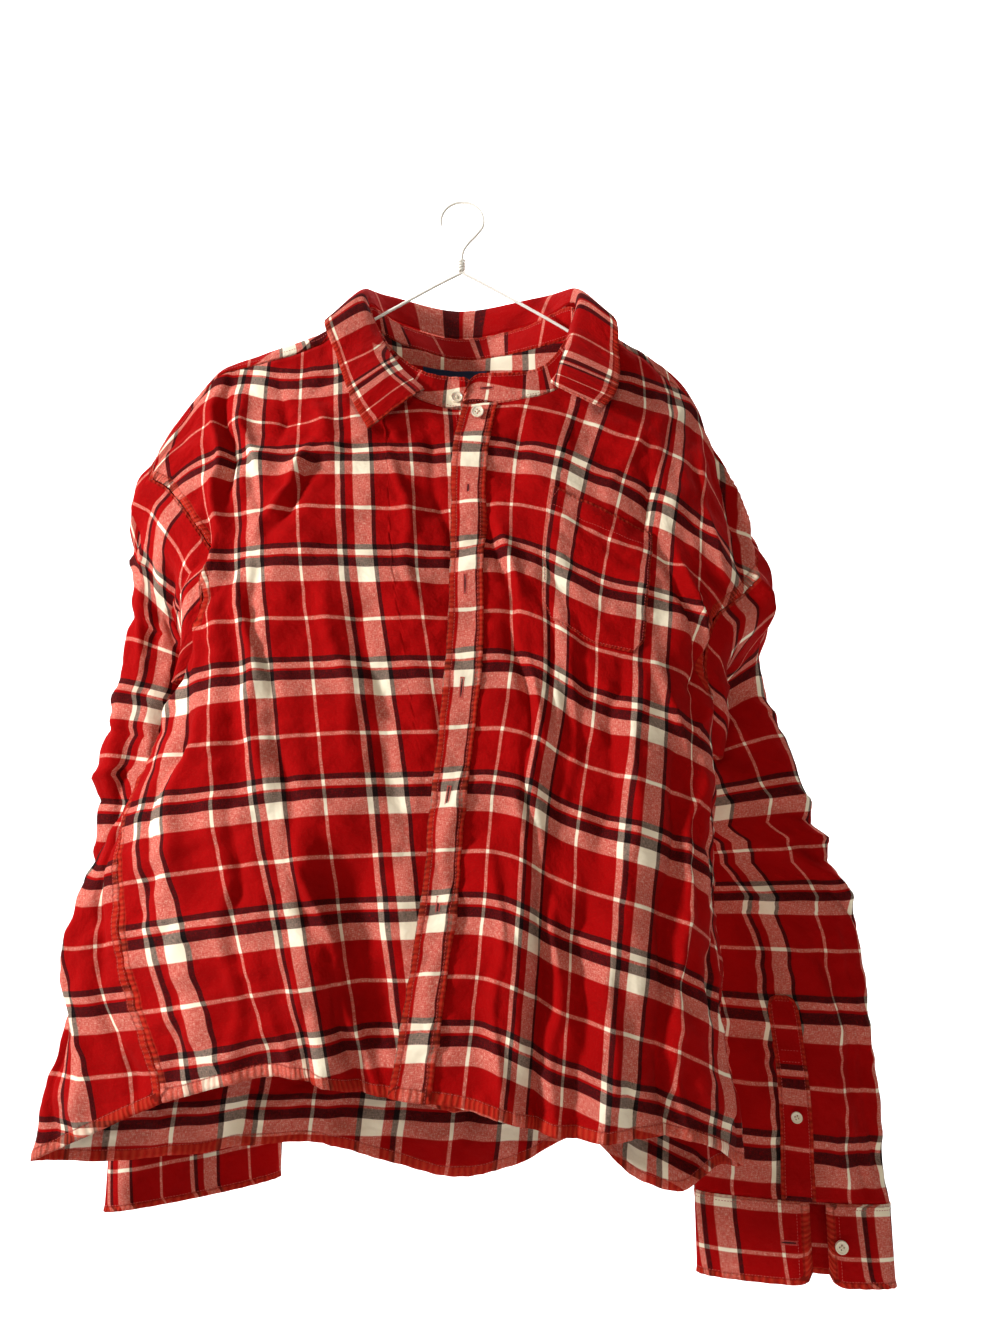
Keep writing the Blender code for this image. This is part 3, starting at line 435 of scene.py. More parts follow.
def back_point(share, way):
    """The back below the yoke, from the right side (share -1) to the left (share 1)."""
    hem = spline(HEM_BACK_AT, HEM_BACK, BACK / 2 * (1 + share))
    top = YOKE_BACK + SEAM / 2
    down = top + (hem - top) * way
    at_side = top + (HEM_BACK[0] - top) * way
    return CENTRE_BACK + drawn_in(share, BACK / 2, back_side(at_side)), down


def yoke_side(way):
    """Centre line to the yoke's side, which the armhole cuts in before and behind the ridge."""
    past = SEAM - YOKE_FRONT + (YOKE_BACK - RIDGE_END - SEAM / 2 - SEAM + YOKE_FRONT) * way
    return np.where(past < 0, front_side(RIDGE_END - past) - PLACKET / 2,
                    back_side(RIDGE_END + past))


def yoke_spot(share, way):
    """A place on the yoke: how far from the centre line, how deep the ridge lies there, and how
    far past the ridge."""
    from_centre = drawn_in(share, SHOULDER_AT, yoke_side(way))
    aside = np.abs(from_centre)
    ridge = shoulder_down(aside)
    opened = np.clip((aside - NECK_HALF) / NECK_CORNER, 0, 1)
    neck = NECK_BACK * (1 - np.clip(aside / NECK_HALF, 0, 1) ** 2.2)
    start = np.where(aside > NECK_HALF, SEAM * 1.3 - YOKE_FRONT * opened, neck)
    end = YOKE_BACK - SEAM / 2 - ridge
    return from_centre, ridge, start + (end - start) * way


def yoke_point(share, way):
    """The yoke, over the shoulders from just before the ridge to its back seam."""
    from_centre, ridge, past = yoke_spot(share, way)
    aside = np.abs(from_centre)
    side_front = np.where(share < 0, aside + PLACKET / 2, AROUND - aside - PLACKET / 2)
    front = body(side_front, ridge + np.maximum(-past, RIDGE_LAP))
    back = body(CENTRE_BACK + from_centre, ridge + np.maximum(past, 0))
    over = body(CENTRE_BACK + from_centre, ridge + RIDGE_LAP)
    crest = (front + over) / 2 + (0, 0, RIDGE_CREST)
    turn = np.clip((past + RIDGE_LAP) / (2 * RIDGE_LAP), 0, 1)[:, None]
    arch = (1 - turn) ** 2 * front + 2 * turn * (1 - turn) * crest + turn ** 2 * over
    on_ridge = (np.abs(past) < RIDGE_LAP) & (aside > NECK_HALF)
    placed = np.where((past < 0)[:, None], front, back)
    return np.where(on_ridge[:, None], arch, placed)


RIDGE_END = (SHOULDER_AT - NECK_HALF) * SHOULDER_SLOPE
FRONT_TOP_DOWN = RIDGE_END + YOKE_FRONT
FRONT_TOP_SIDE = front_side(FRONT_TOP_DOWN)[0]
NECK_COLUMN = 82.4      # centre line to the yoke's column at a neck point
NECK_SHARE = shares_at(
    drawn_in(NECK_COLUMN / SHOULDER_AT, SHOULDER_AT, FRONT_TOP_SIDE - PLACKET / 2) + PLACKET / 2,
    FRONT, FRONT_TOP_SIDE)
YOKE_WAYS = np.array((0, 0.06, 0.12, 0.2, 0.34, 0.55, 0.78, 1.0))
UNDERARM_ROW, BACK_UNDERARM_ROW = 11, 8    # rows of the seams that an armhole is read from


def ways_to_underarm(top, hem, rows):
    """Rows from a panel's top to the underarm."""
    return np.linspace(0, (UNDERARM - top) / (hem - top), rows + 1)


FRONT_WAYS = ways_to_underarm(FRONT_TOP_DOWN, HEM_FRONT[-1], UNDERARM_ROW)
BACK_WAYS = ways_to_underarm(YOKE_BACK + SEAM / 2, HEM_BACK[0], BACK_UNDERARM_ROW)


def armhole(side):
    """The armhole seam, from the underarm up its first side and down its second, and the way the
    sleeve leaves it at each point."""
    sign = -1 if side == "right" else 1
    front = front_point(side, np.ones(UNDERARM_ROW), FRONT_WAYS[:0:-1])
    back = back_point(np.full(BACK_UNDERARM_ROW, sign), BACK_WAYS[:0:-1])
    shoulder = yoke_point(np.full(len(YOKE_WAYS), sign), YOKE_WAYS)
    seam_at = SIDE_RIGHT if side == "right" else SIDE_LEFT
    underarm = body(np.array((seam_at,)), np.array((UNDERARM,)))
    if side == "right":
        ring = np.concatenate((underarm, body(*front)[1:], shoulder, body(*back)[:0:-1]))
    else:
        ring = np.concatenate((underarm, body(*back)[1:], shoulder[::-1], body(*front)[:0:-1]))
    along = units(np.roll(ring, -1, axis=0) - np.roll(ring, 1, axis=0))
    outer = np.array((sign, 0.0, 0.0))
    leave = units(outer - along * (along @ outer)[:, None])
    height = np.clip((ring[:, 2] - ring[0, 2]) / np.ptp(ring[:, 2]), 0, 1)[:, None]
    fall = units(outer + (1 - height) * (0, 0.5, 0) + height * (0, 0.1, -1.4))
    lengths = along_path(np.vstack((ring, ring[:1])))
    return ring, leave, fall, lengths / lengths[-1] * 360


class Sleeve:
    """One sleeve: a surface of degrees round it and millimetres down it."""

    def __init__(self, side, ovals):
        self.side, self.ovals = side, ovals
        self.sign = 1 if side == "right" else -1
        *rows, self.turns = armhole(side)
        self.ring, self.leave, self.fall = (np.vstack((row, row[:1])) for row in rows)
        self.levels = (0, SLEEVE_START) + tuple(oval.down for oval in ovals)

    def oval(self, oval, degrees):
        angle = np.radians(degrees)
        wide = self.sign * oval.wide * np.cos(angle)
        deep = -self.sign * oval.deep * np.sign(np.sin(angle)) * np.abs(np.sin(angle)) ** 0.85
        turn = math.radians(oval.turn)
        return np.stack((oval.x + wide * math.cos(turn) - deep * math.sin(turn),
                         oval.y + wide * math.sin(turn) + deep * math.cos(turn),
                         oval.z + oval.fall * np.cos(angle)), axis=1)

    def point(self, degrees, down):
        degrees = np.asarray(degrees, float) % 360.0001
        ring, leave, fall = (read_path(degrees, self.turns, part)
                             for part in (self.ring, self.leave, self.fall))
        start = ring + leave * SLEEVE_SEAM
        rows = [start, start + fall * SLEEVE_START]
        rows += [self.oval(oval, degrees) for oval in self.ovals]
        by_level = spline(self.levels, np.eye(len(self.levels)), down)
        return np.einsum("nl,lnc->nc", by_level, np.array(rows))

    def length(self):
        return self.ovals[-1].down


def on_body(across, down, height):
    return body(across, down) + outward(body, across, down) * height


def neck_seam():
    """The neck seam, from the right front edge round the back to the left front edge."""
    across_front = np.linspace(0, NECK_SHARE, 60)
    right, left = (body(*front_point(side, across_front, np.zeros(60)))
                   for side in ("right", "left"))
    middle = np.linspace(-NECK_HALF, NECK_HALF, 80)[1:-1] / SHOULDER_AT
    back = yoke_point(middle, np.zeros(len(middle)))
    return np.concatenate((right, back, left[::-1]))


def cuff_point(sleeve, degrees, way):
    """A cuff hangs straight down from the sleeve's end."""
    down = np.full(len(degrees), sleeve.length())
    return sleeve.point(degrees, down) - np.outer(SEAM / 2 + way * CUFF_HEIGHT, (0, 0, 1))


class Cloth:
    """A dense grid of cloth: where each point hangs, its place in the woven check, and the seams
    beside it. Columns run so that columns x rows point outwards, so some run backwards."""

    def __init__(self, shares, ways, place, check, edge, thickness=CLOTH):
        self.shares, self.ways, self.thickness = shares, ways, thickness
        self.turn = 1 if shares[0] < shares[-1] else -1
        size = (len(self.ways), len(self.shares))
        share, way = (part.ravel() for part in np.meshgrid(self.shares, self.ways))
        self.places = place(share, way).reshape(size + (3,))
        self.edge = edge(share, way).reshape(size + (3,))
        self.facing = self.facings()
        self.places = self.places + self.facing * turned_edge(self.edge)[:, :, None]
        self.check = check(share, way, self.places).reshape(size + (2,))

    def facings(self):
        normal = np.cross(np.gradient(self.places, axis=1), np.gradient(self.places, axis=0))
        return normal / np.maximum(np.linalg.norm(normal, axis=2, keepdims=True), 1e-9)

    def at(self, share, way, height=STITCH_HEIGHT):
        """Places above the outer face at these shares and ways, and the way the cloth faces."""
        share, way = np.broadcast_arrays(np.asarray(share, float), np.asarray(way, float))
        column = np.interp(share * self.turn, self.shares * self.turn,
                           np.arange(len(self.shares)))
        row = np.interp(way, self.ways, np.arange(len(self.ways)))
        left = np.minimum(column.astype(int), len(self.shares) - 2)
        top = np.minimum(row.astype(int), len(self.ways) - 2)
        across, down = (column - left)[:, None], (row - top)[:, None]
        found = []
        for field in (self.places, self.facing):
            above = field[top, left] * (1 - across) + field[top, left + 1] * across
            below = field[top + 1, left] * (1 - across) + field[top + 1, left + 1] * across
            found.append(above * (1 - down) + below * down)
        place, facing = found
        facing = units(facing)
        return place + facing * (self.thickness / 2 + height), facing


# A stitched edge, in millimetres: how far it stands up, how far its stitching draws it down, and
# how tall its puckers are.
EDGE_RISE, EDGE_DRAWN, EDGE_PUCKER = 0.55, 0.5, 0.5


def turned_edge(edge):
    """How far a stitched edge stands up at each point: it puckers most at its very end."""
    distance, along, width = np.moveaxis(edge, 2, 0)
    wide = np.maximum(width, 0.01)
    raised = EDGE_RISE / (1 + np.exp(np.clip((distance - wide) / 0.9, -30, 30)))
    drawn = -EDGE_DRAWN * np.exp(-((distance - wide + 1.5) / 1.6) ** 2)
    waves = np.sin(along / 2.1 + 1.7 * np.sin(along / 17))
    ripple = EDGE_PUCKER * waves * np.exp(-(distance / wide) ** 2)
    return np.where(width > 0, raised + drawn + ripple, 0)


def nearest_edge(*edges):
    """Of several seams, each a distance, a way along it and a width, the one beside each point."""
    distances = np.stack([np.where(width > 0, distance - width, 1e6)
                          for distance, _, width in edges])
    pick = distances.argmin(axis=0)
    columns = [np.stack([np.broadcast_to(edge[part], pick.shape) for edge in edges])
               for part in range(3)]
    return np.stack([np.take_along_axis(column, pick[None], axis=0)[0] for column in columns],
                    axis=1)


def linked(name, data):
    made = bpy.data.objects.new(name, data)
    bpy.context.scene.collection.objects.link(made)
    return made


def dress(made, material_name):
    made.data.materials.clear()
    made.data.materials.append(MATERIALS[material_name])
    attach(made, "root")
    return made


def sew(name, cloth, solid, finish="flannel", closed=False, flat=None):
    """Makes the piece from its grid, walls it, works out its flat size and lets it stand for its
    solid.
    """
    rows, columns = cloth.places.shape[:2]
    index = np.arange(rows * columns).reshape(rows, columns)
    turn = np.stack([index[part].ravel() for part in (
        np.s_[:-1, :-1], np.s_[:-1, 1:], np.s_[1:, 1:], np.s_[1:, :-1])], axis=1)
    mesh_index = index.copy()
    if closed:
        mesh_index[:, -1] = mesh_index[:, 0]
    faces = mesh_index.ravel()[turn]
    mesh = bpy.data.meshes.new(name)
    mesh.from_pydata((cloth.places.reshape(-1, 3) * MM).tolist(), [], faces.tolist())
    cut = mesh.uv_layers.new(name="cut")
    cut.data.foreach_set("uv", (cloth.check.reshape(-1, 2)[turn.ravel()] * MM).ravel())
    seam = mesh.attributes.new("seam", "FLOAT_VECTOR", "CORNER")
    seam.data.foreach_set("vector", (cloth.edge.reshape(-1, 3)[turn.ravel()]).ravel())
    mesh.shade_smooth()
    made = linked(name, mesh)
    if closed:
        drop_loose(made)
    wall = made.modifiers.new("wall", "SOLIDIFY")
    wall.thickness = cloth.thickness * MM
    wall.offset = 0
    apply_all(made)
    dress(made, finish)
    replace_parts(made, solid)
    u, v = np.moveaxis(cloth.check, 2, 0)
    first = np.stack((u[1:, 1:] - u[:-1, :-1], v[1:, 1:] - v[:-1, :-1]))
    second = np.stack((u[:-1, 1:] - u[1:, :-1], v[:-1, 1:] - v[1:, :-1]))
    area = abs((first[0] * second[1] - first[1] * second[0]).sum()) / 2
    width, length = (round(float(side) * MM, 4) for side in flat or (np.ptp(u), np.ptp(v)))
    area = width * length if flat else min(float(area) * MM * MM, width * length)


def only(made):
    bpy.ops.object.select_all(action="DESELECT")
    made.select_set(True)
    bpy.context.view_layer.objects.active = made


def apply_all(made):
    only(made)
    for modifier in list(made.modifiers):
        bpy.ops.object.modifier_apply(modifier=modifier.name)
    made.select_set(False)


def drop_loose(made):
    """Removes the points that no face uses."""
    only(made)
    bpy.ops.object.mode_set(mode="EDIT")
    bpy.ops.mesh.select_all(action="SELECT")
    bpy.ops.mesh.delete_loose(use_verts=True, use_edges=True, use_faces=False)
    bpy.ops.object.mode_set(mode="OBJECT")
    made.select_set(False)


# ---- Materials --------------------------------------------------------------------------------

def linear(colour):
    """An sRGB hex colour as linear light."""
    parts = [int(colour[i:i + 2], 16) / 255 for i in (0, 2, 4)]
    return tuple(part / 12.92 if part <= 0.04045 else ((part + 0.055) / 1.055) ** 2.4
                 for part in parts) + (1.0,)


def plug(tree, made, inputs):
    """Gives a node's sockets their values and links."""
    for socket, value in inputs.items():
        if isinstance(value, bpy.types.NodeSocket):
            tree.links.new(value, made.inputs[socket])
        else:
            made.inputs[socket].default_value = value


def node(tree, kind, inputs=(), out=0, **settings):
    """Adds a node with its settings and links. It gives back one output, or all if out is None."""
    made = tree.nodes.new("ShaderNode" + kind)
    for key, value in settings.items():
        setattr(made, key, value)
    plug(tree, made, inputs if isinstance(inputs, dict) else dict(enumerate(inputs)))
    return made.outputs if out is None else made.outputs[out]


def new_material(name, colour, rough, **values):
    made = bpy.data.materials.new(name)
    made.use_nodes = True
    shader = made.node_tree.nodes["Principled BSDF"]
    plug(made.node_tree, shader, {"Base Color": linear(colour), "Roughness": rough})
    plug(made.node_tree, shader, {key.replace("_", " "): value for key, value in values.items()})
    return made, made.node_tree, shader


# What a Mix node needs to mix colours: its settings, and the number of its output.
COLOURS = {"out": 2, "data_type": "RGBA"}


# Stripes of the check in millimetres, from the middle of the thin white line rightwards (warp) and
# from the middle of the wide black line downwards (weft). What isn't named is red.
Stripe = namedtuple("Stripe", "start end yarn")
WARP_REPEAT, WEFT_REPEAT = 105.2, 108.0
WARP = (Stripe(0.0, 1.4, "white"), Stripe(35.1, 39.8, "white"), Stripe(39.8, 44.0, "black"),
        Stripe(51.0, 66.4, "white"), Stripe(66.4, 70.1, "black"), Stripe(103.8, 105.2, "white"))
WEFT = (Stripe(0.0, 4.5, "black"), Stripe(4.5, 19.4, "white"), Stripe(53.1, 56.5, "white"),
        Stripe(90.4, 95.5, "black"), Stripe(95.5, 101.3, "white"), Stripe(103.5, 108.0, "black"))
YARN = {"red": (0, 0, 0, 1), "white": (1, 0, 0, 1), "black": (0, 1, 0, 1)}
BLUR = 0.3              # millimetres over which one yarn's stripe gives way to the next


def stripes(tree, place, table, repeat):
    """White-ness and black-ness of the yarn at this place across the stripes."""
    edges, at = [], 0.0
    for stripe in table:
        if stripe.start > at:
            edges.append((at, "red"))
        edges.append((stripe.start, stripe.yarn))
        at = stripe.end
    if at < repeat:
        edges.append((at, "red"))
    share = node(tree, "Math", (place, repeat * MM), operation="DIVIDE")
    ramp = node(tree, "ValToRGB", (node(tree, "Math", (share,), operation="FRACT"),))
    elements = ramp.node.color_ramp.elements
    elements.remove(elements[-1])
    elements[0].color = YARN[edges[0][1]]
    for (_, before), (start, after) in zip(edges, edges[1:]):
        elements.new((start - BLUR / 2) / repeat).color = YARN[before]
        elements.new((start + BLUR / 2) / repeat).color = YARN[after]
    return node(tree, "SeparateColor", (ramp,), out=None)[:2]


RED, PINK, CREAM = "9A0103", "C45A4E", "F4E9D0"
MAROON, GREY, NEAR_BLACK = "42080B", "7A6E62", "120C0D"
WANDER = 2.2            # millimetres that a stripe could stray, and a quarter of it is usual
TWILL_PITCH = 1.3       # millimetres; 0.5 on the real cloth, drawn coarser so that it shows
PUCKER = 0.78           # millimetres along a seam for one radian of its puckers
STITCHED_IN = 1.4       # millimetres from a turned edge's inner side to its stitching


def brushed_cotton():
    """Brushed cotton flannel, yarn-dyed and twill-woven, washed many times: matt, with a short
    nap that dusts the colours, heathered where two yarns cross and rubbed pale along the seams.
    A noise's scale is in waves to the metre, so 28 gives 36 mm and 900 gives 1.1 mm."""
    made, tree, shader = new_material(
        "brushed_cotton_flannel", "A80408", 0.92, Sheen_Weight=0.015, Sheen_Roughness=0.5,
        Sheen_Tint=linear("E8B7A6"), Specular_IOR_Level=0.06)
    cut = node(tree, "UVMap", uv_map="cut")
    # The hand-fed loom and the wash leave the lines a little uneven, by about 0.5 mm.
    wander = node(tree, "TexNoise", {"Vector": cut, "Scale": 28.0, "Detail": 2.0}, "Color")
    shift = node(tree, "VectorMath", (wander, (0.5, 0.5, 0.5)), operation="SUBTRACT")
    shifted = node(tree, "VectorMath", (shift, (WANDER * MM,) * 3, cut), operation="MULTIPLY_ADD")
    across, down, _ = node(tree, "SeparateXYZ", (shifted,), out=None)
    warp_white, warp_black = stripes(tree, across, WARP, WARP_REPEAT)
    weft_white, weft_black = stripes(tree, down, WEFT, WEFT_REPEAT)

    # Warp and weft show by turns along the twill lines, and where a yarn is thick or thin.
    diagonal = node(tree, "Math", (across, down), operation="ADD")
    turns = node(tree, "Math", (diagonal, 2 * math.pi / (TWILL_PITCH * MM)), operation="MULTIPLY")
    twill = node(tree, "Math", (turns,), operation="SINE")
    weft_slub, warp_slub = (
        node(tree, "TexNoise", {"Vector": node(tree, "Mapping", {0: cut, 3: scale}),
                                "Scale": 1.0, "Detail": 3.0})
        for scale in ((300.0, 1500.0, 1.0), (1500.0, 300.0, 1.0)))
    heather = node(tree, "Math", (weft_slub, warp_slub), operation="SUBTRACT")
    slubs = node(tree, "Math", (heather, 0.55), operation="MULTIPLY")
    lean = node(tree, "Math", (twill, 0.06, slubs), operation="MULTIPLY_ADD")
    warp_share = node(tree, "Math", (0.5, lean), operation="ADD")
    weft_share = node(tree, "Math", (0.5, lean), operation="SUBTRACT")

    some, more = {}, {}
    for tone, warp, weft in (("white", warp_white, weft_white), ("black", warp_black, weft_black)):
        from_warp = node(tree, "Math", (warp, warp_share), operation="MULTIPLY")
        from_weft = node(tree, "Math", (weft, weft_share), operation="MULTIPLY")
        both = node(tree, "Math", (from_warp, from_weft), operation="ADD")
        woven = node(tree, "Math", (2.0, both), operation="MULTIPLY")
        some[tone] = node(tree, "Math", (woven, 1.0), operation="MINIMUM")
        more[tone] = node(tree, "Math", (woven, 1.0), operation="SUBTRACT", use_clamp=True)
    pale = node(tree, "Mix", {0: some["white"], 6: linear(RED), 7: linear(PINK)}, **COLOURS)
    pale = node(tree, "Mix", {0: more["white"], 6: pale, 7: linear(CREAM)}, **COLOURS)
    dark = node(tree, "Mix", {0: some["white"], 6: linear(MAROON), 7: linear(GREY)}, **COLOURS)
    colour = node(tree, "Mix", {0: some["black"], 6: pale, 7: dark}, **COLOURS)
    colour = node(tree, "Mix", {0: more["black"], 6: colour, 7: linear(NEAR_BLACK)}, **COLOURS)

    # The nap: fine pale fuzz, and broad patches where washing took more of the dye.
    nap = node(tree, "TexNoise", {"Vector": cut, "Scale": 900.0, "Detail": 4.0, "Roughness": 0.7})
    raised = node(tree, "Math", (nap, 0.5), operation="SUBTRACT", use_clamp=True)
    fuzz = node(tree, "Math", (raised, 0.22), operation="MULTIPLY")
    colour = node(tree, "Mix", {0: fuzz, 6: colour, 7: linear("D9705E")}, **COLOURS)
    patches = node(tree, "TexNoise", {"Vector": cut, "Scale": 24.0, "Detail": 3.0})
    washed = node(tree, "Math", (patches, 0.34, 0.83), operation="MULTIPLY_ADD")
    bright = node(tree, "CombineXYZ", (washed, washed, washed))
    colour = node(tree, "Mix", {0: 1.0, 6: colour, 7: bright}, blend_type="MULTIPLY", **COLOURS)

    # Seams: the edge beside each point gives its distance, the way along it and its width in mm.
    # They pucker along the stitching. The wash rubs them pale, and that paleness swells and fades
    # with the puckers as painted light and shade.
    seam = node(tree, "Attribute", out="Vector", attribute_name="seam")
    distance, along, width = node(tree, "SeparateXYZ", (seam,), out=None)
    inside = node(tree, "Math", (width, distance), operation="SUBTRACT")
    soft_inside = node(tree, "Math", (inside, 0.8), operation="MULTIPLY", use_clamp=True)
    sewn = node(tree, "Math", (width, 1.0), operation="MULTIPLY", use_clamp=True)
    band = node(tree, "Math", (soft_inside, sewn), operation="MULTIPLY")
    uneven = node(tree, "TexNoise", {"Vector": cut, "Scale": 90.0, "Detail": 2.0})
    even_turns = node(tree, "Math", (along, PUCKER), operation="DIVIDE")
    turns = node(tree, "Math", (uneven, 5.0, even_turns), operation="MULTIPLY_ADD")
    pucker = node(tree, "Math", (turns,), operation="SINE")
    gather = node(tree, "Math", (pucker, band), operation="MULTIPLY")
    # Painted highlight on each pucker's crest and painted shade in its trough, over the steady
    # paleness of wear.
    wear_and_pucker_light = node(tree, "Math", (pucker, 0.15, 0.3), operation="MULTIPLY_ADD")
    wear_and_pucker_lit = node(tree, "Math", (band, wear_and_pucker_light), operation="MULTIPLY")
    colour = node(tree, "Mix", {0: wear_and_pucker_lit, 6: colour, 7: linear("C8452C")}, **COLOURS)
    from_stitches = node(tree, "Math", (inside, STITCHED_IN), operation="SUBTRACT")
    aside = node(tree, "Math", (from_stitches,), operation="ABSOLUTE")
    near = node(tree, "Math", (1.0, aside), operation="SUBTRACT", use_clamp=True)
    line = node(tree, "Math", (near, sewn), operation="MULTIPLY")
    shadow = node(tree, "Math", (line, 0.45), operation="MULTIPLY")
    colour = node(tree, "Mix", {0: shadow, 6: colour, 7: linear("6B0A0A")}, **COLOURS)

    height = node(tree, "Math", (twill, 0.05), operation="MULTIPLY")
    soft = node(tree, "TexNoise", {"Vector": cut, "Scale": 42.0, "Detail": 3.0})
    for relief, tall in ((nap, 0.35), (soft, 5.0), (gather, 0.42), (line, -0.5)):
        height = node(tree, "Math", (relief, tall, height), operation="MULTIPLY_ADD")
    bump = node(tree, "Bump", {"Strength": 0.9, "Distance": 1.0 * MM, "Height": height})
    plug(tree, shader, {"Base Color": colour, "Normal": bump})
    return made


def thread(name, colour):
    """Spun polyester sewing thread: a dull shine, paler on top of each stitch."""
    made, tree, shader = new_material(name, colour, 0.6, Sheen_Weight=0.2)
    place = node(tree, "TexCoord", out="Object")
    twist = node(tree, "TexNoise", {"Vector": place, "Scale": 2600.0, "Detail": 2.0})
    tone = node(tree, "Mix", {0: twist, 6: linear(colour), 7: linear("FFFFFF")},
                blend_type="SOFT_LIGHT", **COLOURS)
    bump = node(tree, "Bump", {"Strength": 0.4, "Distance": 0.1 * MM, "Height": twist})
    plug(tree, shader, {"Base Color": tone, "Normal": bump})
    return made


def cast_polyester():
    """Cast polyester buttons, turned and tumbled: cream, glossy, a little cloudy in the depth."""
    made, tree, shader = new_material("cast_polyester_button", "E4D9C0", 0.22, IOR=1.56,
                                      Subsurface_Weight=0.15, Subsurface_Scale=0.002)
    place = node(tree, "TexCoord", out="Object")
    cloud = node(tree, "TexNoise", {"Vector": place, "Scale": 230.0, "Detail": 3.0,
                                    "Distortion": 1.2})
    tone = node(tree, "Mix", {0: cloud, 6: linear("D6C6A6"), 7: linear("F3EBDC")}, **COLOURS)
    lathe = node(tree, "TexNoise", {"Vector": place, "Scale": 1500.0})
    bump = node(tree, "Bump", {"Strength": 0.15, "Distance": 0.05 * MM, "Height": lathe})
    plug(tree, shader, {"Base Color": tone, "Normal": bump})
    return made


def satin_label():
    """Woven polyester satin ribbon: navy, smooth, with fine crosswise ribs that catch the light."""
    made, tree, shader = new_material("navy_satin_ribbon", "0B1734", 0.6, Specular_IOR_Level=0.2)
    cut = node(tree, "UVMap", uv_map="cut")
    ribs = node(tree, "Mapping", {0: cut, 3: (300.0, 4200.0, 1.0)})
    yarn = node(tree, "TexNoise", {"Vector": ribs, "Scale": 1.0, "Detail": 2.0})
    tone = node(tree, "Mix", {0: yarn, 6: linear("081026"), 7: linear("14244A")}, **COLOURS)
    bump = node(tree, "Bump", {"Strength": 0.5, "Distance": 0.1 * MM, "Height": yarn})
    plug(tree, shader, {"Base Color": tone, "Normal": bump})
    return made


def vinyl_wire():
    """Steel wire dipped in white vinyl: smooth, softly glossy, faintly yellowed and scuffed."""
    made, tree, shader = new_material("white_vinyl_coated_wire", "EDEBE4", 0.32, IOR=1.5)
    place = node(tree, "TexCoord", out="Object")
    age = node(tree, "TexNoise", {"Vector": place, "Scale": 60.0, "Detail": 3.0})
    tone = node(tree, "Mix", {0: age, 6: linear("F6F5F0"), 7: linear("DDD8CA")}, **COLOURS)
    scuffs = node(tree, "TexNoise", {"Vector": place, "Scale": 700.0, "Detail": 2.0})
    rough = node(tree, "Math", (scuffs, 0.25, 0.2), operation="MULTIPLY_ADD")
    plug(tree, shader, {"Base Color": tone, "Roughness": rough})
    return made


def dark_slit():
    """The shadowed inside of a buttonhole: the same cotton, deep red, fuzzy and unlit."""
    made, tree, shader = new_material("buttonhole_depth", "2A0507", 0.95)
    place = node(tree, "TexCoord", out="Object")
    fray = node(tree, "TexNoise", {"Vector": place, "Scale": 1800.0, "Detail": 2.0})
    tone = node(tree, "Mix", {0: fray, 6: linear("1A0304"), 7: linear("4A0A0C")}, **COLOURS)
    plug(tree, shader, {"Base Color": tone})
    return made


MATERIALS = {"flannel": brushed_cotton(), "red_thread": thread("red_sewing_thread", "A3261C"),
             "cream_thread": thread("cream_sewing_thread", "D9C7A8"), "button": cast_polyester(),
             "label": satin_label(), "wire": vinyl_wire(), "slit": dark_slit()}


# ---- The panels -------------------------------------------------------------------------------

FRONT_COLUMNS = np.concatenate((np.linspace(0, 70, 23), np.linspace(72.5, 99, 20),
                                np.linspace(103, FRONT, 82))) / FRONT
CORNER_COLUMNS = np.linspace(74, 90, 12) / SHOULDER_AT
YOKE_COLUMNS = np.unique(np.concatenate((np.linspace(-1, 1, 131), CORNER_COLUMNS, -CORNER_COLUMNS)))
TURNED_HEM, FELLED = 11.0, 9.0      # widths of the hem and of the felled seams, in millimetres
TOPSTITCHED = 6.0                   # the same of a topstitched edge

# Where the check starts on each panel: millimetres across and down it.
FRONT_CHECK = {"right": 74, "left": 54}
FRONT_CHECK_DOWN = 70
BACK_CHECK, BACK_CHECK_DOWN = SIDE_RIGHT + 30, 11
PLACKET_CHECK, PLACKET_CHECK_DOWN = 43, 67
BAND_CHECK, BAND_CHECK_DOWN, LEAF_CHECK = 30, 22, 92


def make_front(side):
    def spot(share, way):
        across, down = front_point(side, share, way)
        return (across if side == "right" else AROUND - across), down

    def place(share, way):
        return body(*front_point(side, share, way))

    def check(share, way, _):
        from_edge, down = spot(share, way)
        u = from_edge - FRONT_CHECK[side]
        return np.stack((-u if side == "right" else u, down - FRONT_CHECK_DOWN), axis=1)

    def edge(share, way):
        from_edge, down = spot(share, way)
        hem = spot(share, np.ones(len(share)))[1]
        below = down > UNDERARM
        side_seam = np.where(below, FRONT, front_side(down)) - from_edge
        side_width = np.where(below, TOPSTITCHED if side == "right" else 0.0, FELLED)
        button_band = 12.0 if side == "right" else 0.0
        return nearest_edge((hem - down, from_edge, TURNED_HEM), (side_seam, down, side_width),
                            (from_edge, down, button_band))
    columns = FRONT_COLUMNS if side == "right" else FRONT_COLUMNS[::-1]
    return Cloth(columns, np.linspace(0, 1, 205), place, check, edge)


def make_back():
    def check(share, way, _):
        across, down = back_point(share, way)
        return np.stack((BACK_CHECK - across, down - BACK_CHECK_DOWN), axis=1)

    def edge(share, way):
        across, down = back_point(share, way)
        hem = back_point(share, np.ones(len(share)))[1]
        side_seam = np.where(down > UNDERARM, BACK / 2, back_side(down))
        return nearest_edge((hem - down, across, TURNED_HEM),
                            (side_seam - np.abs(across - CENTRE_BACK), down, FELLED))
    return Cloth(np.linspace(-1, 1, 201), np.linspace(0, 1, 190),
                 lambda share, way: body(*back_point(share, way)), check, edge)


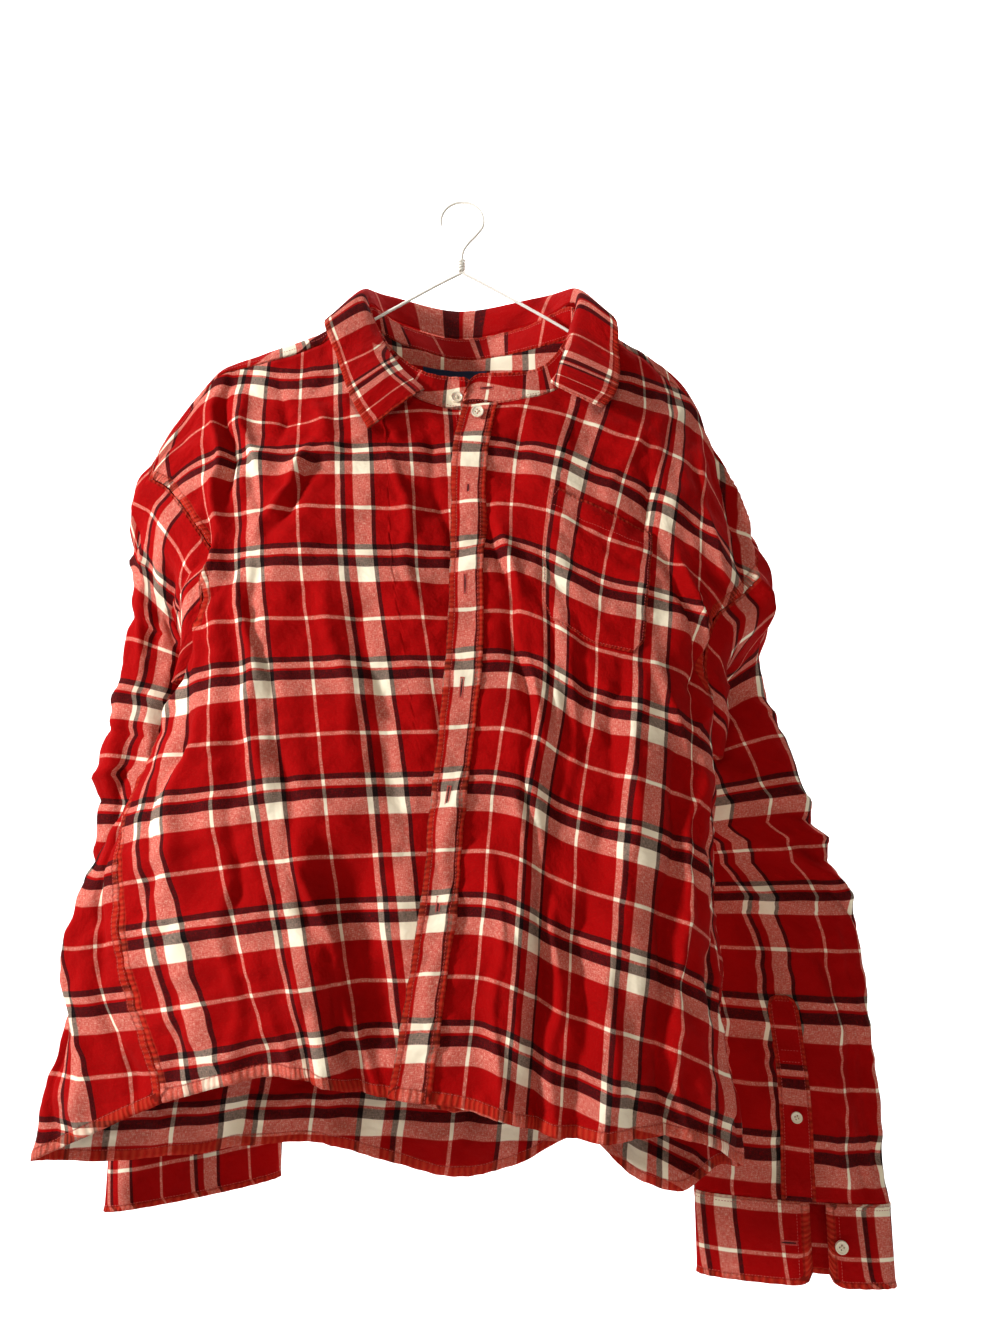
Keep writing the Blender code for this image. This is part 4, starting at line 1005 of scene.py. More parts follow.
def make_yoke():
    def check(share, way, _):
        from_centre, ridge, past = yoke_spot(share, way)
        return np.stack((BACK_CHECK - CENTRE_BACK - from_centre, past + ridge - BACK_CHECK_DOWN),
                        axis=1)

    def edge(share, way):
        from_centre, ridge, past = yoke_spot(share, way)
        front_seam = np.where(np.abs(from_centre) > NECK_HALF, TOPSTITCHED, 0.0)
        return nearest_edge((YOKE_BACK - ridge - past, from_centre, TOPSTITCHED),
                            (past + YOKE_FRONT + 4, from_centre, front_seam),
                            (yoke_side(way) - np.abs(from_centre), past, FELLED))
    return Cloth(YOKE_COLUMNS, np.linspace(0, 1, 44), yoke_point, check, edge)


FRONT_CLOTH = {side: make_front(side) for side in ("right", "left")}
BACK_CLOTH, YOKE_CLOTH = make_back(), make_yoke()
for side, cloth in FRONT_CLOTH.items():
    sew(f"shirt_front_{side}", cloth, f"front_{side}")
sew("shirt_back", BACK_CLOTH, "back")
sew("shirt_yoke", YOKE_CLOTH, "yoke")


def make_placket():
    def place(share, way):
        return on_body(*front_point("left", share, way), LAYER + 0.1)

    def check(share, way, _):
        across, down = front_point("left", share, way)
        return np.stack((AROUND - across + PLACKET_CHECK, down - PLACKET_CHECK_DOWN), axis=1)

    def edge(share, way):
        across, down = front_point("left", share, way)
        hem = front_point("left", share, np.ones(len(share)))[1]
        from_edge = AROUND - across
        return nearest_edge((hem - down, from_edge, TURNED_HEM), (from_edge, down, 6.5),
                            (PLACKET - from_edge, down, TOPSTITCHED))
    return Cloth(np.linspace(PLACKET, 0, 16) / FRONT, np.linspace(0, 1, 230), place, check, edge,
                 1.6)


PLACKET_CLOTH = make_placket()
sew("shirt_placket", PLACKET_CLOTH, "placket")


def make_pocket():
    def spot(share, way):
        inset = np.clip((way - 0.9) / 0.1, 0, 1) * POCKET["corner"]
        from_edge = POCKET["across"] + inset + share * (POCKET["width"] - 2 * inset)
        return from_edge, POCKET["down"] + way * POCKET["height"]

    def place(share, way):
        from_edge, down = spot(share, way)
        return on_body(AROUND - from_edge, down, LAYER)

    def check(share, way, _):
        from_edge, down = spot(share, way)
        return np.stack((from_edge - FRONT_CHECK["left"], down - FRONT_CHECK_DOWN), axis=1)

    def edge(share, way):
        across, down = share * POCKET["width"], way * POCKET["height"]
        sides = np.minimum(share, 1 - share) * POCKET["width"]
        return nearest_edge((down, across, 3.0), (sides, down, 2.5),
                            ((1 - way) * POCKET["height"], across, 2.5))
    return Cloth(np.linspace(1, 0, 48), np.linspace(0, 1, 54), place, check, edge)


POCKET_CLOTH = make_pocket()
sew("shirt_pocket", POCKET_CLOTH, "pocket")


def make_label():
    wide, tall = LABEL["to"] - LABEL["from"], LABEL["bottom"] - LABEL["top"]

    def place(share, way):
        across = CENTRE_BACK + LABEL["from"] + share * wide
        return on_body(across, LABEL["top"] + way * tall, -LAYER - 0.9)

    def check(share, way, _):
        return np.stack((share * wide, way * tall), axis=1)

    def edge(share, way):
        return nearest_edge((np.minimum(share, 1 - share) * wide, way * 20, 0.0))
    return Cloth(np.linspace(0, 1, 28), np.linspace(0, 1, 14), place, check, edge, 1.0)


sew("neck_label", make_label(), "label", finish="label")


# ---- The collar -------------------------------------------------------------------------------

def from_end(share):
    return np.minimum(share, 1 - share)


def make_band():
    seam = neck_seam()
    lengths = along_path(seam)
    length = lengths[-1]
    shares = lengths / length
    along = units(np.gradient(seam, axis=0))
    rise = spline(BAND_SHARES, BAND_TOP, shares) - seam
    away = units(rise - along * (rise * along).sum(axis=1)[:, None])

    def place(share, way):
        """The band stands just off the seam. Its two ends are wavy, with rounded corners."""
        start = read_path(share, shares, seam) + read_path(share, shares, away) * 0.35
        top = spline(BAND_SHARES, BAND_TOP, share)
        wave = np.clip(1 - from_end(share) / 0.16, 0, 1) * way * 3.2 * np.sin(share * 76)
        corner = np.clip(1 - from_end(share) * 40, 0, 1)
        tall_here = 1 - 0.55 * (1 - np.sqrt(1 - corner ** 2))
        return (start + (top - start) * (way * tall_here)[:, None]
                - wave[:, None] * (0, 1.0, 0.35))

    spots = np.linspace(0, 1, 60)
    tall = np.linalg.norm(place(spots, spots * 0 + 1) - place(spots, spots * 0), axis=1).mean()

    def check(share, way, _):
        near_end = np.clip(1 - from_end(share) / 0.2, 0, 1)
        near_end = near_end * near_end * (3 - 2 * near_end)
        return np.stack((share * length + BAND_CHECK,
                         way * tall + BAND_CHECK_DOWN - BAND_CHECK_DOWN * near_end), axis=1)

    def edge(share, way):
        return nearest_edge((way * tall, share * length, 2.0),
                            ((1 - way) * tall, share * length, 3.0),
                            (from_end(share) * length, way * tall, 5.0))
    return Cloth(np.linspace(1, 0, 240), np.linspace(0, 1, 18), place, check, edge, 1.8)


def make_leaf():
    """The leaf, and its flat size."""
    crest_way = (0, 0.36, 1)

    def place(share, way):
        guides = [spline([fall.share for fall in COLLAR], [getattr(fall, part) for fall in COLLAR],
                         share) for part in ("seam", "crest", "edge")]
        return np.einsum("ng,gnc->nc", spline(crest_way, np.eye(3), way), np.array(guides))
    ways, columns = np.linspace(0, 1, 34), np.linspace(1, 0, 200)
    length = along_path(place(columns, np.full(len(columns), 0.8)))[-1]
    lines = place(np.repeat(np.linspace(0, 1, 60), 34), np.tile(ways, 60)).reshape(60, 34, 3)
    depth = np.linalg.norm(np.diff(lines, axis=1), axis=2).sum(axis=1).mean()

    def check(share, way, _):
        """The check runs with the leaf's points, and with the yoke's behind the neck."""
        behind = np.clip((from_end(share) - 0.16) / 0.14, 0, 1)
        at_tip = (1 - way) * depth - 8
        at_back = spline(crest_way, (6, 34, -8), way)
        return np.stack((at_tip + (at_back - at_tip) * behind, LEAF_CHECK - share * length),
                        axis=1)

    def edge(share, way):
        return nearest_edge(((1 - way) * depth, share * length, 6.5),
                            (from_end(share) * length, way * depth, 6.5))
    return Cloth(columns, ways, place, check, edge, 1.8), (depth, length)


BAND_CLOTH, (LEAF_CLOTH, LEAF_FLAT) = make_band(), make_leaf()
sew("shirt_collar_band", BAND_CLOTH, "collar_band")
sew("shirt_collar_leaf", LEAF_CLOTH, "collar_leaf",
    flat=LEAF_FLAT)


# ---- The sleeves ------------------------------------------------------------------------------

SLEEVE_COLUMNS = np.linspace(0, 360, 161)
DEGREE = 1.2            # millimetres of cloth to a degree round a sleeve, near enough for its folds


def in_degrees(at):
    return at * DEGREE


def girth(places):
    """Millimetres along each row of a grid, from its first column."""
    steps = np.linalg.norm(np.diff(places, axis=1), axis=2)
    return np.concatenate((np.zeros((len(places), 1)), np.cumsum(steps, axis=1)), axis=1)


def sleeve_place(sleeve, degrees, down):
    """The sleeve with its creases, which fade out at the armhole and at the cuff."""
    folds = SLEEVE_CREASES[sleeve.side]
    height = sum(crease_height(fold, in_degrees(degrees), down) for fold in folds) * 0.62
    wrap = 0.5 - 0.5 * np.cos(np.radians(degrees))
    height = height + soft_ripples(in_degrees(degrees) + 900, down) * np.sqrt(wrap) * 0.6
    height = height * np.clip(down / 20, 0, 1) * np.clip((sleeve.length() - down) / 16, 0, 1)
    return sleeve.point(degrees, down) + outward(sleeve.point, degrees, down) * height[:, None]


def make_sleeve(side):
    sleeve = SLEEVES[side]

    def place(degrees, way):
        return sleeve_place(sleeve, degrees, way * sleeve.length())

    def check(degrees, way, places):
        grid = girth(places)
        middle = grid[:, len(SLEEVE_COLUMNS) // 2][:, None]
        downs, checks = SLEEVE_CHECK[side]
        return np.stack((SLEEVE_PHASE[side] - (grid - middle).ravel(),
                         spline(downs, checks, way * sleeve.length())), axis=1)

    def edge(degrees, way):
        down = way * sleeve.length()
        return nearest_edge((down, in_degrees(degrees), 3.0),
                            (in_degrees(np.minimum(degrees, 360 - degrees)), down, 4.0))
    return Cloth(SLEEVE_COLUMNS, np.linspace(0, 1, 185), place, check, edge)


def make_cuff(side):
    sleeve, opening = SLEEVES[side], CUFF_OPENS_AT[side]
    degrees = np.linspace(opening + CUFF_OPENING / 2, opening + 360 - CUFF_OPENING / 2, 150)
    around = along_path(cuff_point(sleeve, degrees, np.zeros(len(degrees))))[-1]

    def from_first(at):
        return np.interp(at, (degrees[0], degrees[-1]), (0, around))

    def ends(at):
        return np.minimum(from_first(at), around - from_first(at))

    def place(at, way):
        corner = np.clip(1 - ends(at) / 11, 0, 1)
        return cuff_point(sleeve, at, way * (1 - (1 - np.sqrt(1 - corner ** 2)) * 0.16))

    def check(at, way, places):
        grid = girth(places)
        u = CUFF_PHASE[side] - grid.ravel() / grid[:, -1].mean() * CUFF_SPAN[side]
        return np.stack((u, way * CUFF_HEIGHT + CUFF_CHECK[side]), axis=1)

    def edge(at, way):
        return nearest_edge((way * CUFF_HEIGHT, from_first(at), 3.0),
                            ((1 - way) * CUFF_HEIGHT, from_first(at), TOPSTITCHED),
                            (ends(at), way * CUFF_HEIGHT, TOPSTITCHED))
    return Cloth(degrees, np.linspace(0, 1, 28), place, check, edge, 2.0)


def make_tower(side):
    sleeve = SLEEVES[side]
    start = CUFF_OPENS_AT[side] + 1 if side == "left" else CUFF_OPENS_AT[side] - TOWER_WIDTH - 1
    wide = TOWER_WIDTH * 1.5

    def spot(share, way):
        narrow = 1 - 0.62 * (1 - np.sqrt(1 - np.clip(1 - way / 0.1, 0, 1) ** 2))
        degrees = start + TOWER_WIDTH * (0.5 + (share - 0.5) * narrow)
        return degrees, sleeve.length() - TOWER_LENGTH * (1 - way) - SEAM

    def place(share, way):
        degrees, down = spot(share, way)
        at = sleeve_place(sleeve, degrees, down)
        return at + outward(sleeve.point, degrees, down) * LAYER

    def check(share, way, _):
        across, down = TOWER_CHECK[side]
        return np.stack((share * wide + across, way * TOWER_LENGTH + down), axis=1)

    def edge(share, way):
        return nearest_edge((from_end(share) * wide, way * TOWER_LENGTH, 4.0),
                            (way * TOWER_LENGTH, share * wide, 5.0))
    return Cloth(np.linspace(0, 1, 14), np.linspace(0, 1, 76), place, check, edge)


# How the check lies on the sleeves: at these places down each sleeve, this far down the check.
SLEEVE_CHECK = {
    "right": ((0, 30, 104, 208, 272, 326, 386, 660), (-84, -54, 0, 54, 108, 162, 216, 490)),
    "left": ((0, 108, 196, 252, 358, 414, 483, 548, 606, 640),
             (-86, 0, 54, 108, 216, 270, 324, 378, 432, 462)),
}
SLEEVE_PHASE = {"right": 10.0, "left": 43.0}
CUFF_PHASE = {"right": 20.0, "left": 25.0}
CUFF_SPAN = {"right": 440.3, "left": 335.1}     # cloth round each cuff
CUFF_CHECK = {"right": 20.0, "left": 9.0}
TOWER_CHECK = {"right": (60.0, 30.0), "left": (5.0, -84.0)}
SLEEVE_CREASES = {
    "right": laid((
        (100, 20, 120, 260, 12, 5), (131, 155, 140, 220, 12, -5), (127, 50, 130, 125, 16, 5),
        (150, 60, 150, 260, 14, 5), (100, 200, 112, 430, 14, -6), (128, 240, 124, 470, 16, 5),
        (230, 60, 236, 420, 22, 6), (280, 40, 270, 480, 24, -6), (200, 260, 190, 560, 20, 5),
        (60, 420, 90, 640, 18, 4), (140, 480, 132, 650, 14, -4), (150, 96, 210, 112, 10, 5),
        (146, 186, 204, 176, 9, -5), (150, 262, 214, 280, 9, 5), (146, 306, 208, 300, 8, -5),
        (140, 336, 206, 352, 8, 6), (148, 372, 212, 366, 8, -5), (150, 402, 204, 420, 9, 4),
        (110, 60, 116, 240, 10, -6), (146, 320, 128, 470, 10, -6), (118, 290, 138, 400, 9, 5),
    ), in_degrees),
    "left": laid((
        (262, 200, 216, 300, 11, 7), (250, 240, 200, 330, 10, -7), (240, 300, 186, 352, 12, 7),
        (226, 330, 180, 392, 10, -5), (290, 180, 270, 420, 14, -5), (300, 60, 282, 300, 14, 4),
        (244, 380, 228, 600, 16, 5), (214, 400, 206, 620, 16, -5), (100, 80, 96, 480, 24, 6),
        (60, 80, 70, 520, 24, -6), (140, 200, 150, 600, 20, 5), (208, 250, 160, 268, 8, 6),
        (206, 276, 158, 284, 7, -6), (212, 292, 156, 304, 8, 7), (208, 320, 150, 322, 7, -5),
        (236, 262, 196, 276, 6, -4), (240, 282, 200, 306, 6, 4), (206, 352, 154, 366, 9, 4),
        (212, 150, 170, 170, 10, 4), (306, 24, 232, 190, 12, 6), (318, 60, 250, 220, 11, -6),
        (300, 130, 246, 250, 10, 6), (280, 60, 214, 150, 12, -5), (292, 360, 262, 440, 9, -5),
        (286, 330, 240, 372, 9, 5), (236, 390, 220, 560, 10, -6), (226, 380, 196, 520, 10, 5),
        (286, 480, 276, 640, 9, -5), (240, 560, 236, 640, 7, 5), (222, 580, 220, 640, 7, -5),
    ), in_degrees),
}
SLEEVES = {"right": Sleeve("right", SLEEVE_RIGHT), "left": Sleeve("left", SLEEVE_LEFT)}
CUFF_CLOTH, TOWER_CLOTH = {}, {}
for side in SLEEVES:
    sew(f"shirt_sleeve_{side}", make_sleeve(side), f"sleeve_{side}", closed=True)
    CUFF_CLOTH[side] = make_cuff(side)
    sew(f"shirt_cuff_{side}", CUFF_CLOTH[side], f"cuff_{side}")
    TOWER_CLOTH[side] = make_tower(side)
    sew(f"shirt_sleeve_placket_{side}", TOWER_CLOTH[side], f"sleeve_placket_{side}")


# ---- Stitching --------------------------------------------------------------------------------

STITCH, STITCH_LENGTH = 2.7, 2.1    # millimetres from one stitch to the next, and its own length
WORKED_PITCH = 0.62                 # the same in a buttonhole's edge


def new_primitive():
    """The primitive just added, with all of it selected for editing."""
    bpy.ops.object.mode_set(mode="EDIT")
    bpy.ops.mesh.select_all(action="SELECT")
    return bpy.context.object


def stitch_grain():
    """One stitch: a small round bead drawn out along X."""
    bpy.ops.object.select_all(action="DESELECT")
    bpy.ops.mesh.primitive_uv_sphere_add(segments=5, ring_count=4, radius=0.5 * MM)
    made = new_primitive()
    bpy.ops.transform.resize(value=(STITCH_LENGTH, 0.62, 0.5))
    bpy.ops.object.mode_set(mode="OBJECT")
    return made


GRAIN = stitch_grain()
GRAIN_POINTS = np.array([vertex.co[:] for vertex in GRAIN.data.vertices]) / MM
GRAIN_FACES = sorted(tuple(face.vertices) for face in GRAIN.data.polygons)
bpy.data.objects.remove(GRAIN)


def beads(name, grains, thread_name):
    """Makes one piece of many stitches."""
    faces = [tuple(corner + number * len(GRAIN_POINTS) for corner in face)
             for number in range(len(grains)) for face in GRAIN_FACES]
    mesh = bpy.data.meshes.new(name)
    mesh.from_pydata((np.concatenate(grains) * MM).tolist(), [], faces)
    mesh.shade_smooth()
    dress(linked(name, mesh), thread_name)


def stitched(name, runs):
    """Copies the stitch along each run of places."""
    grains = []
    for path, facing in runs:
        lengths = along_path(path)
        stops = np.arange(STITCH / 2, lengths[-1], STITCH)
        spots, faced = (read_path(stops, lengths, part) for part in (path, facing))
        along = units(np.gradient(spots, axis=0))
        faced = units(faced - along * (faced * along).sum(axis=1)[:, None])
        turned = np.stack((along, np.cross(faced, along), faced), axis=1)
        grains += list(spots[:, None] + np.einsum("pk,nkc->npc", GRAIN_POINTS, turned))
    beads(name, grains, "red_thread")


def short_stitches(name, runs, thread_name):
    """One bead of thread laid over each short run."""
    grains = []
    for ends, facing in runs:
        length = np.linalg.norm(ends[1] - ends[0])
        along = (ends[1] - ends[0]) / length
        face = facing - along * (facing @ along)
        face /= np.linalg.norm(face)
        turn = np.stack((along * length / STITCH_LENGTH, np.cross(face, along), face))
        grains.append(ends.mean(axis=0) + GRAIN_POINTS @ turn)
    beads(name, grains, thread_name)


def body_run(across, downs, height):
    """A run of places straight down the body, and the way the cloth faces there."""
    across = np.full(len(downs), across)
    return on_body(across, downs, height), outward(body, across, downs)


def within(margin, count, first=0.0, last=1.0):
    """Places from one end of a run to the other, a margin in from each."""
    return np.linspace(first + margin, last - margin, count)


def hem_way(top, hem):
    """How far down a panel its hem's stitching runs."""
    return (hem - TURNED_HEM + STITCHED_IN - top) / (hem - top)


SIGN = {"right": -1, "left": 1}

hem_runs = []
for cloth in FRONT_CLOTH.values():
    shares = within(0.01, 260)
    top = front_top(drawn_in(shares, FRONT, FRONT_TOP_SIDE))
    hem = spline(HEM_FRONT_AT, HEM_FRONT, shares * FRONT)
    hem_runs.append(cloth.at(shares, hem_way(top, hem)))
shares = np.linspace(-0.985, 0.985, 400)
hem = spline(HEM_BACK_AT, HEM_BACK, BACK / 2 * (1 + shares))
hem_runs.append(BACK_CLOTH.at(shares, hem_way(YOKE_BACK + SEAM / 2, hem)))
inner_runs = [(path - facing * (CLOTH + 2 * STITCH_HEIGHT), -facing) for path, facing in hem_runs]
stitched("hem_stitches", hem_runs + inner_runs)

stitched("placket_stitches", [PLACKET_CLOTH.at(at / FRONT, np.linspace(0.004, 0.997, 320))
                              for at in (5.1, PLACKET - 4.6)])
stitched("button_stand_stitches",
         [body_run(26.0, np.linspace(NECK_DROP + 4, 745, 300), CLOTH / 2 + STITCH_HEIGHT)])

POCKET_SIDE, POCKET_BOTTOM = 2.4 / POCKET["width"], 2.4 / POCKET["height"]
across = within(POCKET_SIDE, 80)
pocket_runs = [POCKET_CLOTH.at(share, np.linspace(0.01, 1 - POCKET_BOTTOM, 80))
               for share in (POCKET_SIDE, 1 - POCKET_SIDE)]
pocket_runs += [POCKET_CLOTH.at(across, way)
                for way in (1 - POCKET_BOTTOM, 19.6 / POCKET["height"])]
steps = np.linspace(0, 1, 12)       # a slanted run holds each corner of the mouth
pocket_runs += [
    POCKET_CLOTH.at(share + inwards / POCKET["width"] * (1 - steps), 0.012 + steps * 0.1)
    for share, inwards in ((POCKET_SIDE, 5.5), (1 - POCKET_SIDE, -5.5))]
stitched("pocket_stitches", pocket_runs)

yoke_runs = [YOKE_CLOTH.at(sign * np.linspace(NECK_HALF + 4, SHOULDER_AT - 2, 120) / SHOULDER_AT,
                           way) for sign in SIGN.values() for way in (0.035, 0.975)]
yoke_runs.append(YOKE_CLOTH.at(np.linspace(-0.24, 0.24, 100), 0.975))
stitched("yoke_stitches", yoke_runs)

FROM_ARMHOLE = 7.4
armhole_runs = []
for side, sign in SIGN.items():
    armhole_runs.append(FRONT_CLOTH[side].at(1 - FROM_ARMHOLE / FRONT, np.linspace(0.02, 0.36, 90)))
    armhole_runs.append(BACK_CLOTH.at(sign * (1 - FROM_ARMHOLE / (BACK / 2)),
                                      np.linspace(0.01, 0.34, 70)))
    armhole_runs.append(YOKE_CLOTH.at(sign * (1 - FROM_ARMHOLE / SHOULDER_AT), within(0.02, 60)))
    armhole_runs += [BACK_CLOTH.at(sign * (1 - from_seam / (BACK / 2)),
                                   np.linspace(0.4, 0.985, 140)) for from_seam in (1.6, 7.2)]
stitched("armhole_and_side_stitches", armhole_runs)

collar_runs = [LEAF_CLOTH.at(within(0.018, 320), 0.9)]
collar_runs += [LEAF_CLOTH.at(share, np.linspace(0.25, 0.9, 50)) for share in (0.016, 0.984)]
band_runs = [BAND_CLOTH.at(within(0.008, 320), way) for way in (0.88, 0.1)]
inside = [(path - facing * (BAND_CLOTH.thickness + 2 * STITCH_HEIGHT), -facing)
          for path, facing in band_runs]
stitched("collar_stitches", collar_runs + band_runs + inside)

cuff_runs = []
for side, cuff in CUFF_CLOTH.items():
    first, last = cuff.shares[0], cuff.shares[-1]
    margin = (last - first) * 0.022
    cuff_runs += [cuff.at(within(margin, 200, first, last), way) for way in (0.07, 0.92)]
    cuff_runs += [cuff.at(share, np.linspace(0.07, 0.92, 40))
                  for share in (first + margin, last - margin)]
    cuff_runs += [TOWER_CLOTH[side].at(share, np.linspace(0.05, 0.99, 80))
                  for share in (0.13, 0.87)]
    cuff_runs += [TOWER_CLOTH[side].at(within(0.2, 14), way) for way in (0.03, 0.3, 0.36)]
stitched("cuff_stitches", cuff_runs)


# ---- Buttonholes ------------------------------------------------------------------------------

def worked_hole(place, along, across, facing, length=18.0):
    """Runs of crosswise thread down both sides of a slit, and a bar of it at each end."""
    middles = [(place + along * step + across * sign * 1.35, across)
               for sign in (-1, 1) for step in np.arange(-length / 2, length / 2, WORKED_PITCH)]
    middles += [(place + along * (sign * length / 2) + across * step, along)
                for sign in (-1, 1) for step in np.arange(-1.9, 2.0, WORKED_PITCH)]
    return [(np.array((middle - way * 0.8, middle + way * 0.8)), facing)
            for middle, way in middles]


def placed(made, turn, place):
    """Turns a piece made at the origin and sets it at its place, leaving the object unturned."""
    points = np.array([vertex.co[:] for vertex in made.data.vertices]) @ turn.T + place * MM
    made.data.vertices.foreach_set("co", points.ravel())
    made.data.update()
    return made


def slit(name, place, along, across, facing, length=18.0):
    """The opening itself: a thin dark tongue of shadow between the worked edges."""
    bpy.ops.object.select_all(action="DESELECT")
    bpy.ops.mesh.primitive_cylinder_add(vertices=16, radius=0.5 * MM, depth=0.16 * MM)
    made = new_primitive()
    made.name = made.data.name = name
    bpy.ops.transform.resize(value=(length, 1.4, 1))
    bpy.ops.object.mode_set(mode="OBJECT")
    return placed(made, np.stack((along, across, facing), axis=1), place)


def axes_of(path, facing):
    """The middle of a short run, and the axes of a piece that lies along it."""
    along = path[-1] - path[0]
    along /= np.linalg.norm(along)
    face = facing[len(facing) // 2]
    face = face - along * (face @ along)
    face /= np.linalg.norm(face)
    return path[len(path) // 2], along, np.cross(face, along), face


holes = [(f"front_{number}", 18.0, body_run(
    AROUND - PLACKET / 2, np.linspace(down - 4, down + 4, 3), LAYER + 1.1))
    for number, down in enumerate(BUTTONHOLE_DOWN, 1)]
holes.append(("neck", 13.0, BAND_CLOTH.at((0.972, 0.965, 0.958), 0.5, 0.14)))
for side, cuff in CUFF_CLOTH.items():
    middle = cuff.shares[-1] - 13 if side == "right" else cuff.shares[0] + 13
    holes.append((f"cuff_{side}", 14.0, cuff.at((middle - 4, middle, middle + 4), 0.5, 0.14)))
hole_runs, slits = [], []
for name, length, run in holes:
    axes = axes_of(*run)
    hole_runs += worked_hole(*axes, length)
    slits.append(slit(f"buttonhole_{name}", *axes, length))
for made in slits:
    dress(made, "slit")
short_stitches("buttonhole_stitches", hole_runs, "red_thread")


# ---- Buttons ----------------------------------------------------------------------------------

HOLE_APART, HOLE_RADIUS = 1.35, 0.8     # of a button's four holes, from its middle
THREAD_APART = 0.28                     # between two turns of the thread that holds it


def turned_button():
    """A four-hole button, turned with a rim and a dished face, on the origin facing +Z."""
    bpy.ops.object.select_all(action="DESELECT")
    bpy.ops.mesh.primitive_cylinder_add(vertices=48, radius=BUTTON_RADIUS * MM,
                                        depth=BUTTON_THICK * MM)
    made = new_primitive()
    bpy.ops.mesh.select_mode(type="FACE")
    bpy.ops.mesh.select_all(action="DESELECT")
    bpy.ops.object.mode_set(mode="OBJECT")
    for face in made.data.polygons:
        face.select = face.normal.z > 0.9
    bpy.ops.object.mode_set(mode="EDIT")
    bpy.ops.mesh.inset(thickness=0.9 * MM)
    bpy.ops.mesh.inset(thickness=0.75 * MM)
    bpy.ops.transform.translate(value=(0, 0, -0.75 * MM))
    bpy.ops.object.mode_set(mode="OBJECT")
    cutters = []
    for x, y in ((-1, -1), (-1, 1), (1, -1), (1, 1)):
        bpy.ops.object.select_all(action="DESELECT")
        bpy.ops.mesh.primitive_cylinder_add(
            vertices=16, radius=HOLE_RADIUS * MM, depth=4 * BUTTON_THICK * MM,
            location=(x * HOLE_APART * MM, y * HOLE_APART * MM, 0))
        cutters.append(bpy.context.object)
    for cutter in cutters:
        cut = made.modifiers.new("hole", "BOOLEAN")
        cut.object = cutter
    rim = made.modifiers.new("rim", "BEVEL")
    rim.width = 0.28 * MM
    rim.segments = 3
    rim.limit_method = "ANGLE"
    rim.angle_limit = math.radians(40)
    apply_all(made)
    for cutter in cutters:
        bpy.data.objects.remove(cutter)
    only(made)
    bpy.ops.object.shade_smooth_by_angle(angle=math.radians(35))
    return made


MASTER = turned_button()


def set_button(name, place, facing, radius, turned):
    """A copy of the button with its back at place, to stand in for the plain one of the same name,
    and the threads that hold it.
    """
    mesh = MASTER.data.copy()
    mesh.name = name
    made = linked(name, mesh)
    spin = np.array(((math.cos(turned), -math.sin(turned), 0),
                     (math.sin(turned), math.cos(turned), 0), (0, 0, 1)))
    turn = np.array(Vector(facing).to_track_quat("Z", "Y").to_matrix()) @ spin
    scale = radius / BUTTON_RADIUS
    placed(made, turn * scale, place + facing * BUTTON_THICK / 2 * scale)
    dress(made, "button")
    threads = []
    for sign in (-1, 1):
        ends = np.array(((-1, -sign, 0), (1, sign, 0))) * HOLE_APART * scale
        for beside in (-THREAD_APART, 0, THREAD_APART):
            shift = np.array((beside, -beside * sign, BUTTON_THICK * scale - 0.35))
            threads.append(((ends + shift) @ turn.T + place, facing))
    return made, threads


def plain_button(name):
    """Where a solid button stands: its back's middle, and the way it faces."""
    solid = bpy.data.objects[name]
    points = np.array([(solid.matrix_world @ vertex.co)[:] for vertex in solid.data.vertices])
    middle = (points.min(axis=0) + points.max(axis=0)) / 2
    normals = np.array([face.normal[:] for face in solid.data.polygons])
    areas = np.array([face.area for face in solid.data.polygons])
    normals = units(normals @ np.array(solid.matrix_world.to_3x3()).T)
    level = np.abs(normals @ normals.T) > 0.999
    flat = (level * areas[None]).sum(axis=1).argmax()
    return middle / MM, normals[flat]


sewing = []
for name in ["button_neck", "button_top", *(f"button_front_{n}" for n in range(1, 6)),
             "button_cuff_right", "button_cuff_left", "button_sleeve_right", "button_sleeve_left"]:
    middle, facing = plain_button(name)
    if name.startswith(("button_sleeve", "button_cuff")):
        sleeve = SLEEVES[name.rsplit("_", 1)[1]]
        outer = middle - sleeve.oval(sleeve.ovals[-1], np.array((90.0, 270.0))).mean(axis=0)
        outer[2] = 0
    else:
        outer = np.array((0.0, -1.0, 0.0))
    facing = facing * np.sign(facing @ outer)
    radius = SMALL_BUTTON_RADIUS if name.startswith("button_sleeve") else BUTTON_RADIUS
    made, threads = set_button("sewn_" + name, middle - facing * BUTTON_THICK / 2, facing, radius,
                               0.2 + 0.37 * len(sewing))
    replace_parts(made, name)
    sewing += threads
short_stitches("button_threads", sewing, "cream_thread")
bpy.data.objects.remove(MASTER)


# ---- The hanger -------------------------------------------------------------------------------

def bent_wire(name, places, radius, closed=False, roundness=5):
    """Wire bent through these places: a path with a round bevel, turned into a mesh."""
    bpy.ops.object.select_all(action="DESELECT")
    bpy.ops.curve.primitive_nurbs_path_add(location=(0, 0, 0))
    path = bpy.context.object.data
    path.splines.clear()
    wire = path.splines.new("POLY")
    wire.points.add(len(places) - 1)
    wire.use_cyclic_u = closed
    for point, place, thick in zip(wire.points, places, np.broadcast_to(radius, len(places))):
        point.co = (place[0] * MM, place[1] * MM, place[2] * MM, 1.0)
        point.radius = thick
    path.bevel_depth = MM
    path.bevel_resolution = roundness
    path.use_fill_caps = not closed
    bpy.ops.object.convert(target="MESH")
    made = bpy.context.object
    made.name = made.data.name = name
    bpy.ops.object.shade_smooth_by_angle(angle=math.radians(60))
    made.select_set(False)
    return dress(made, "wire")


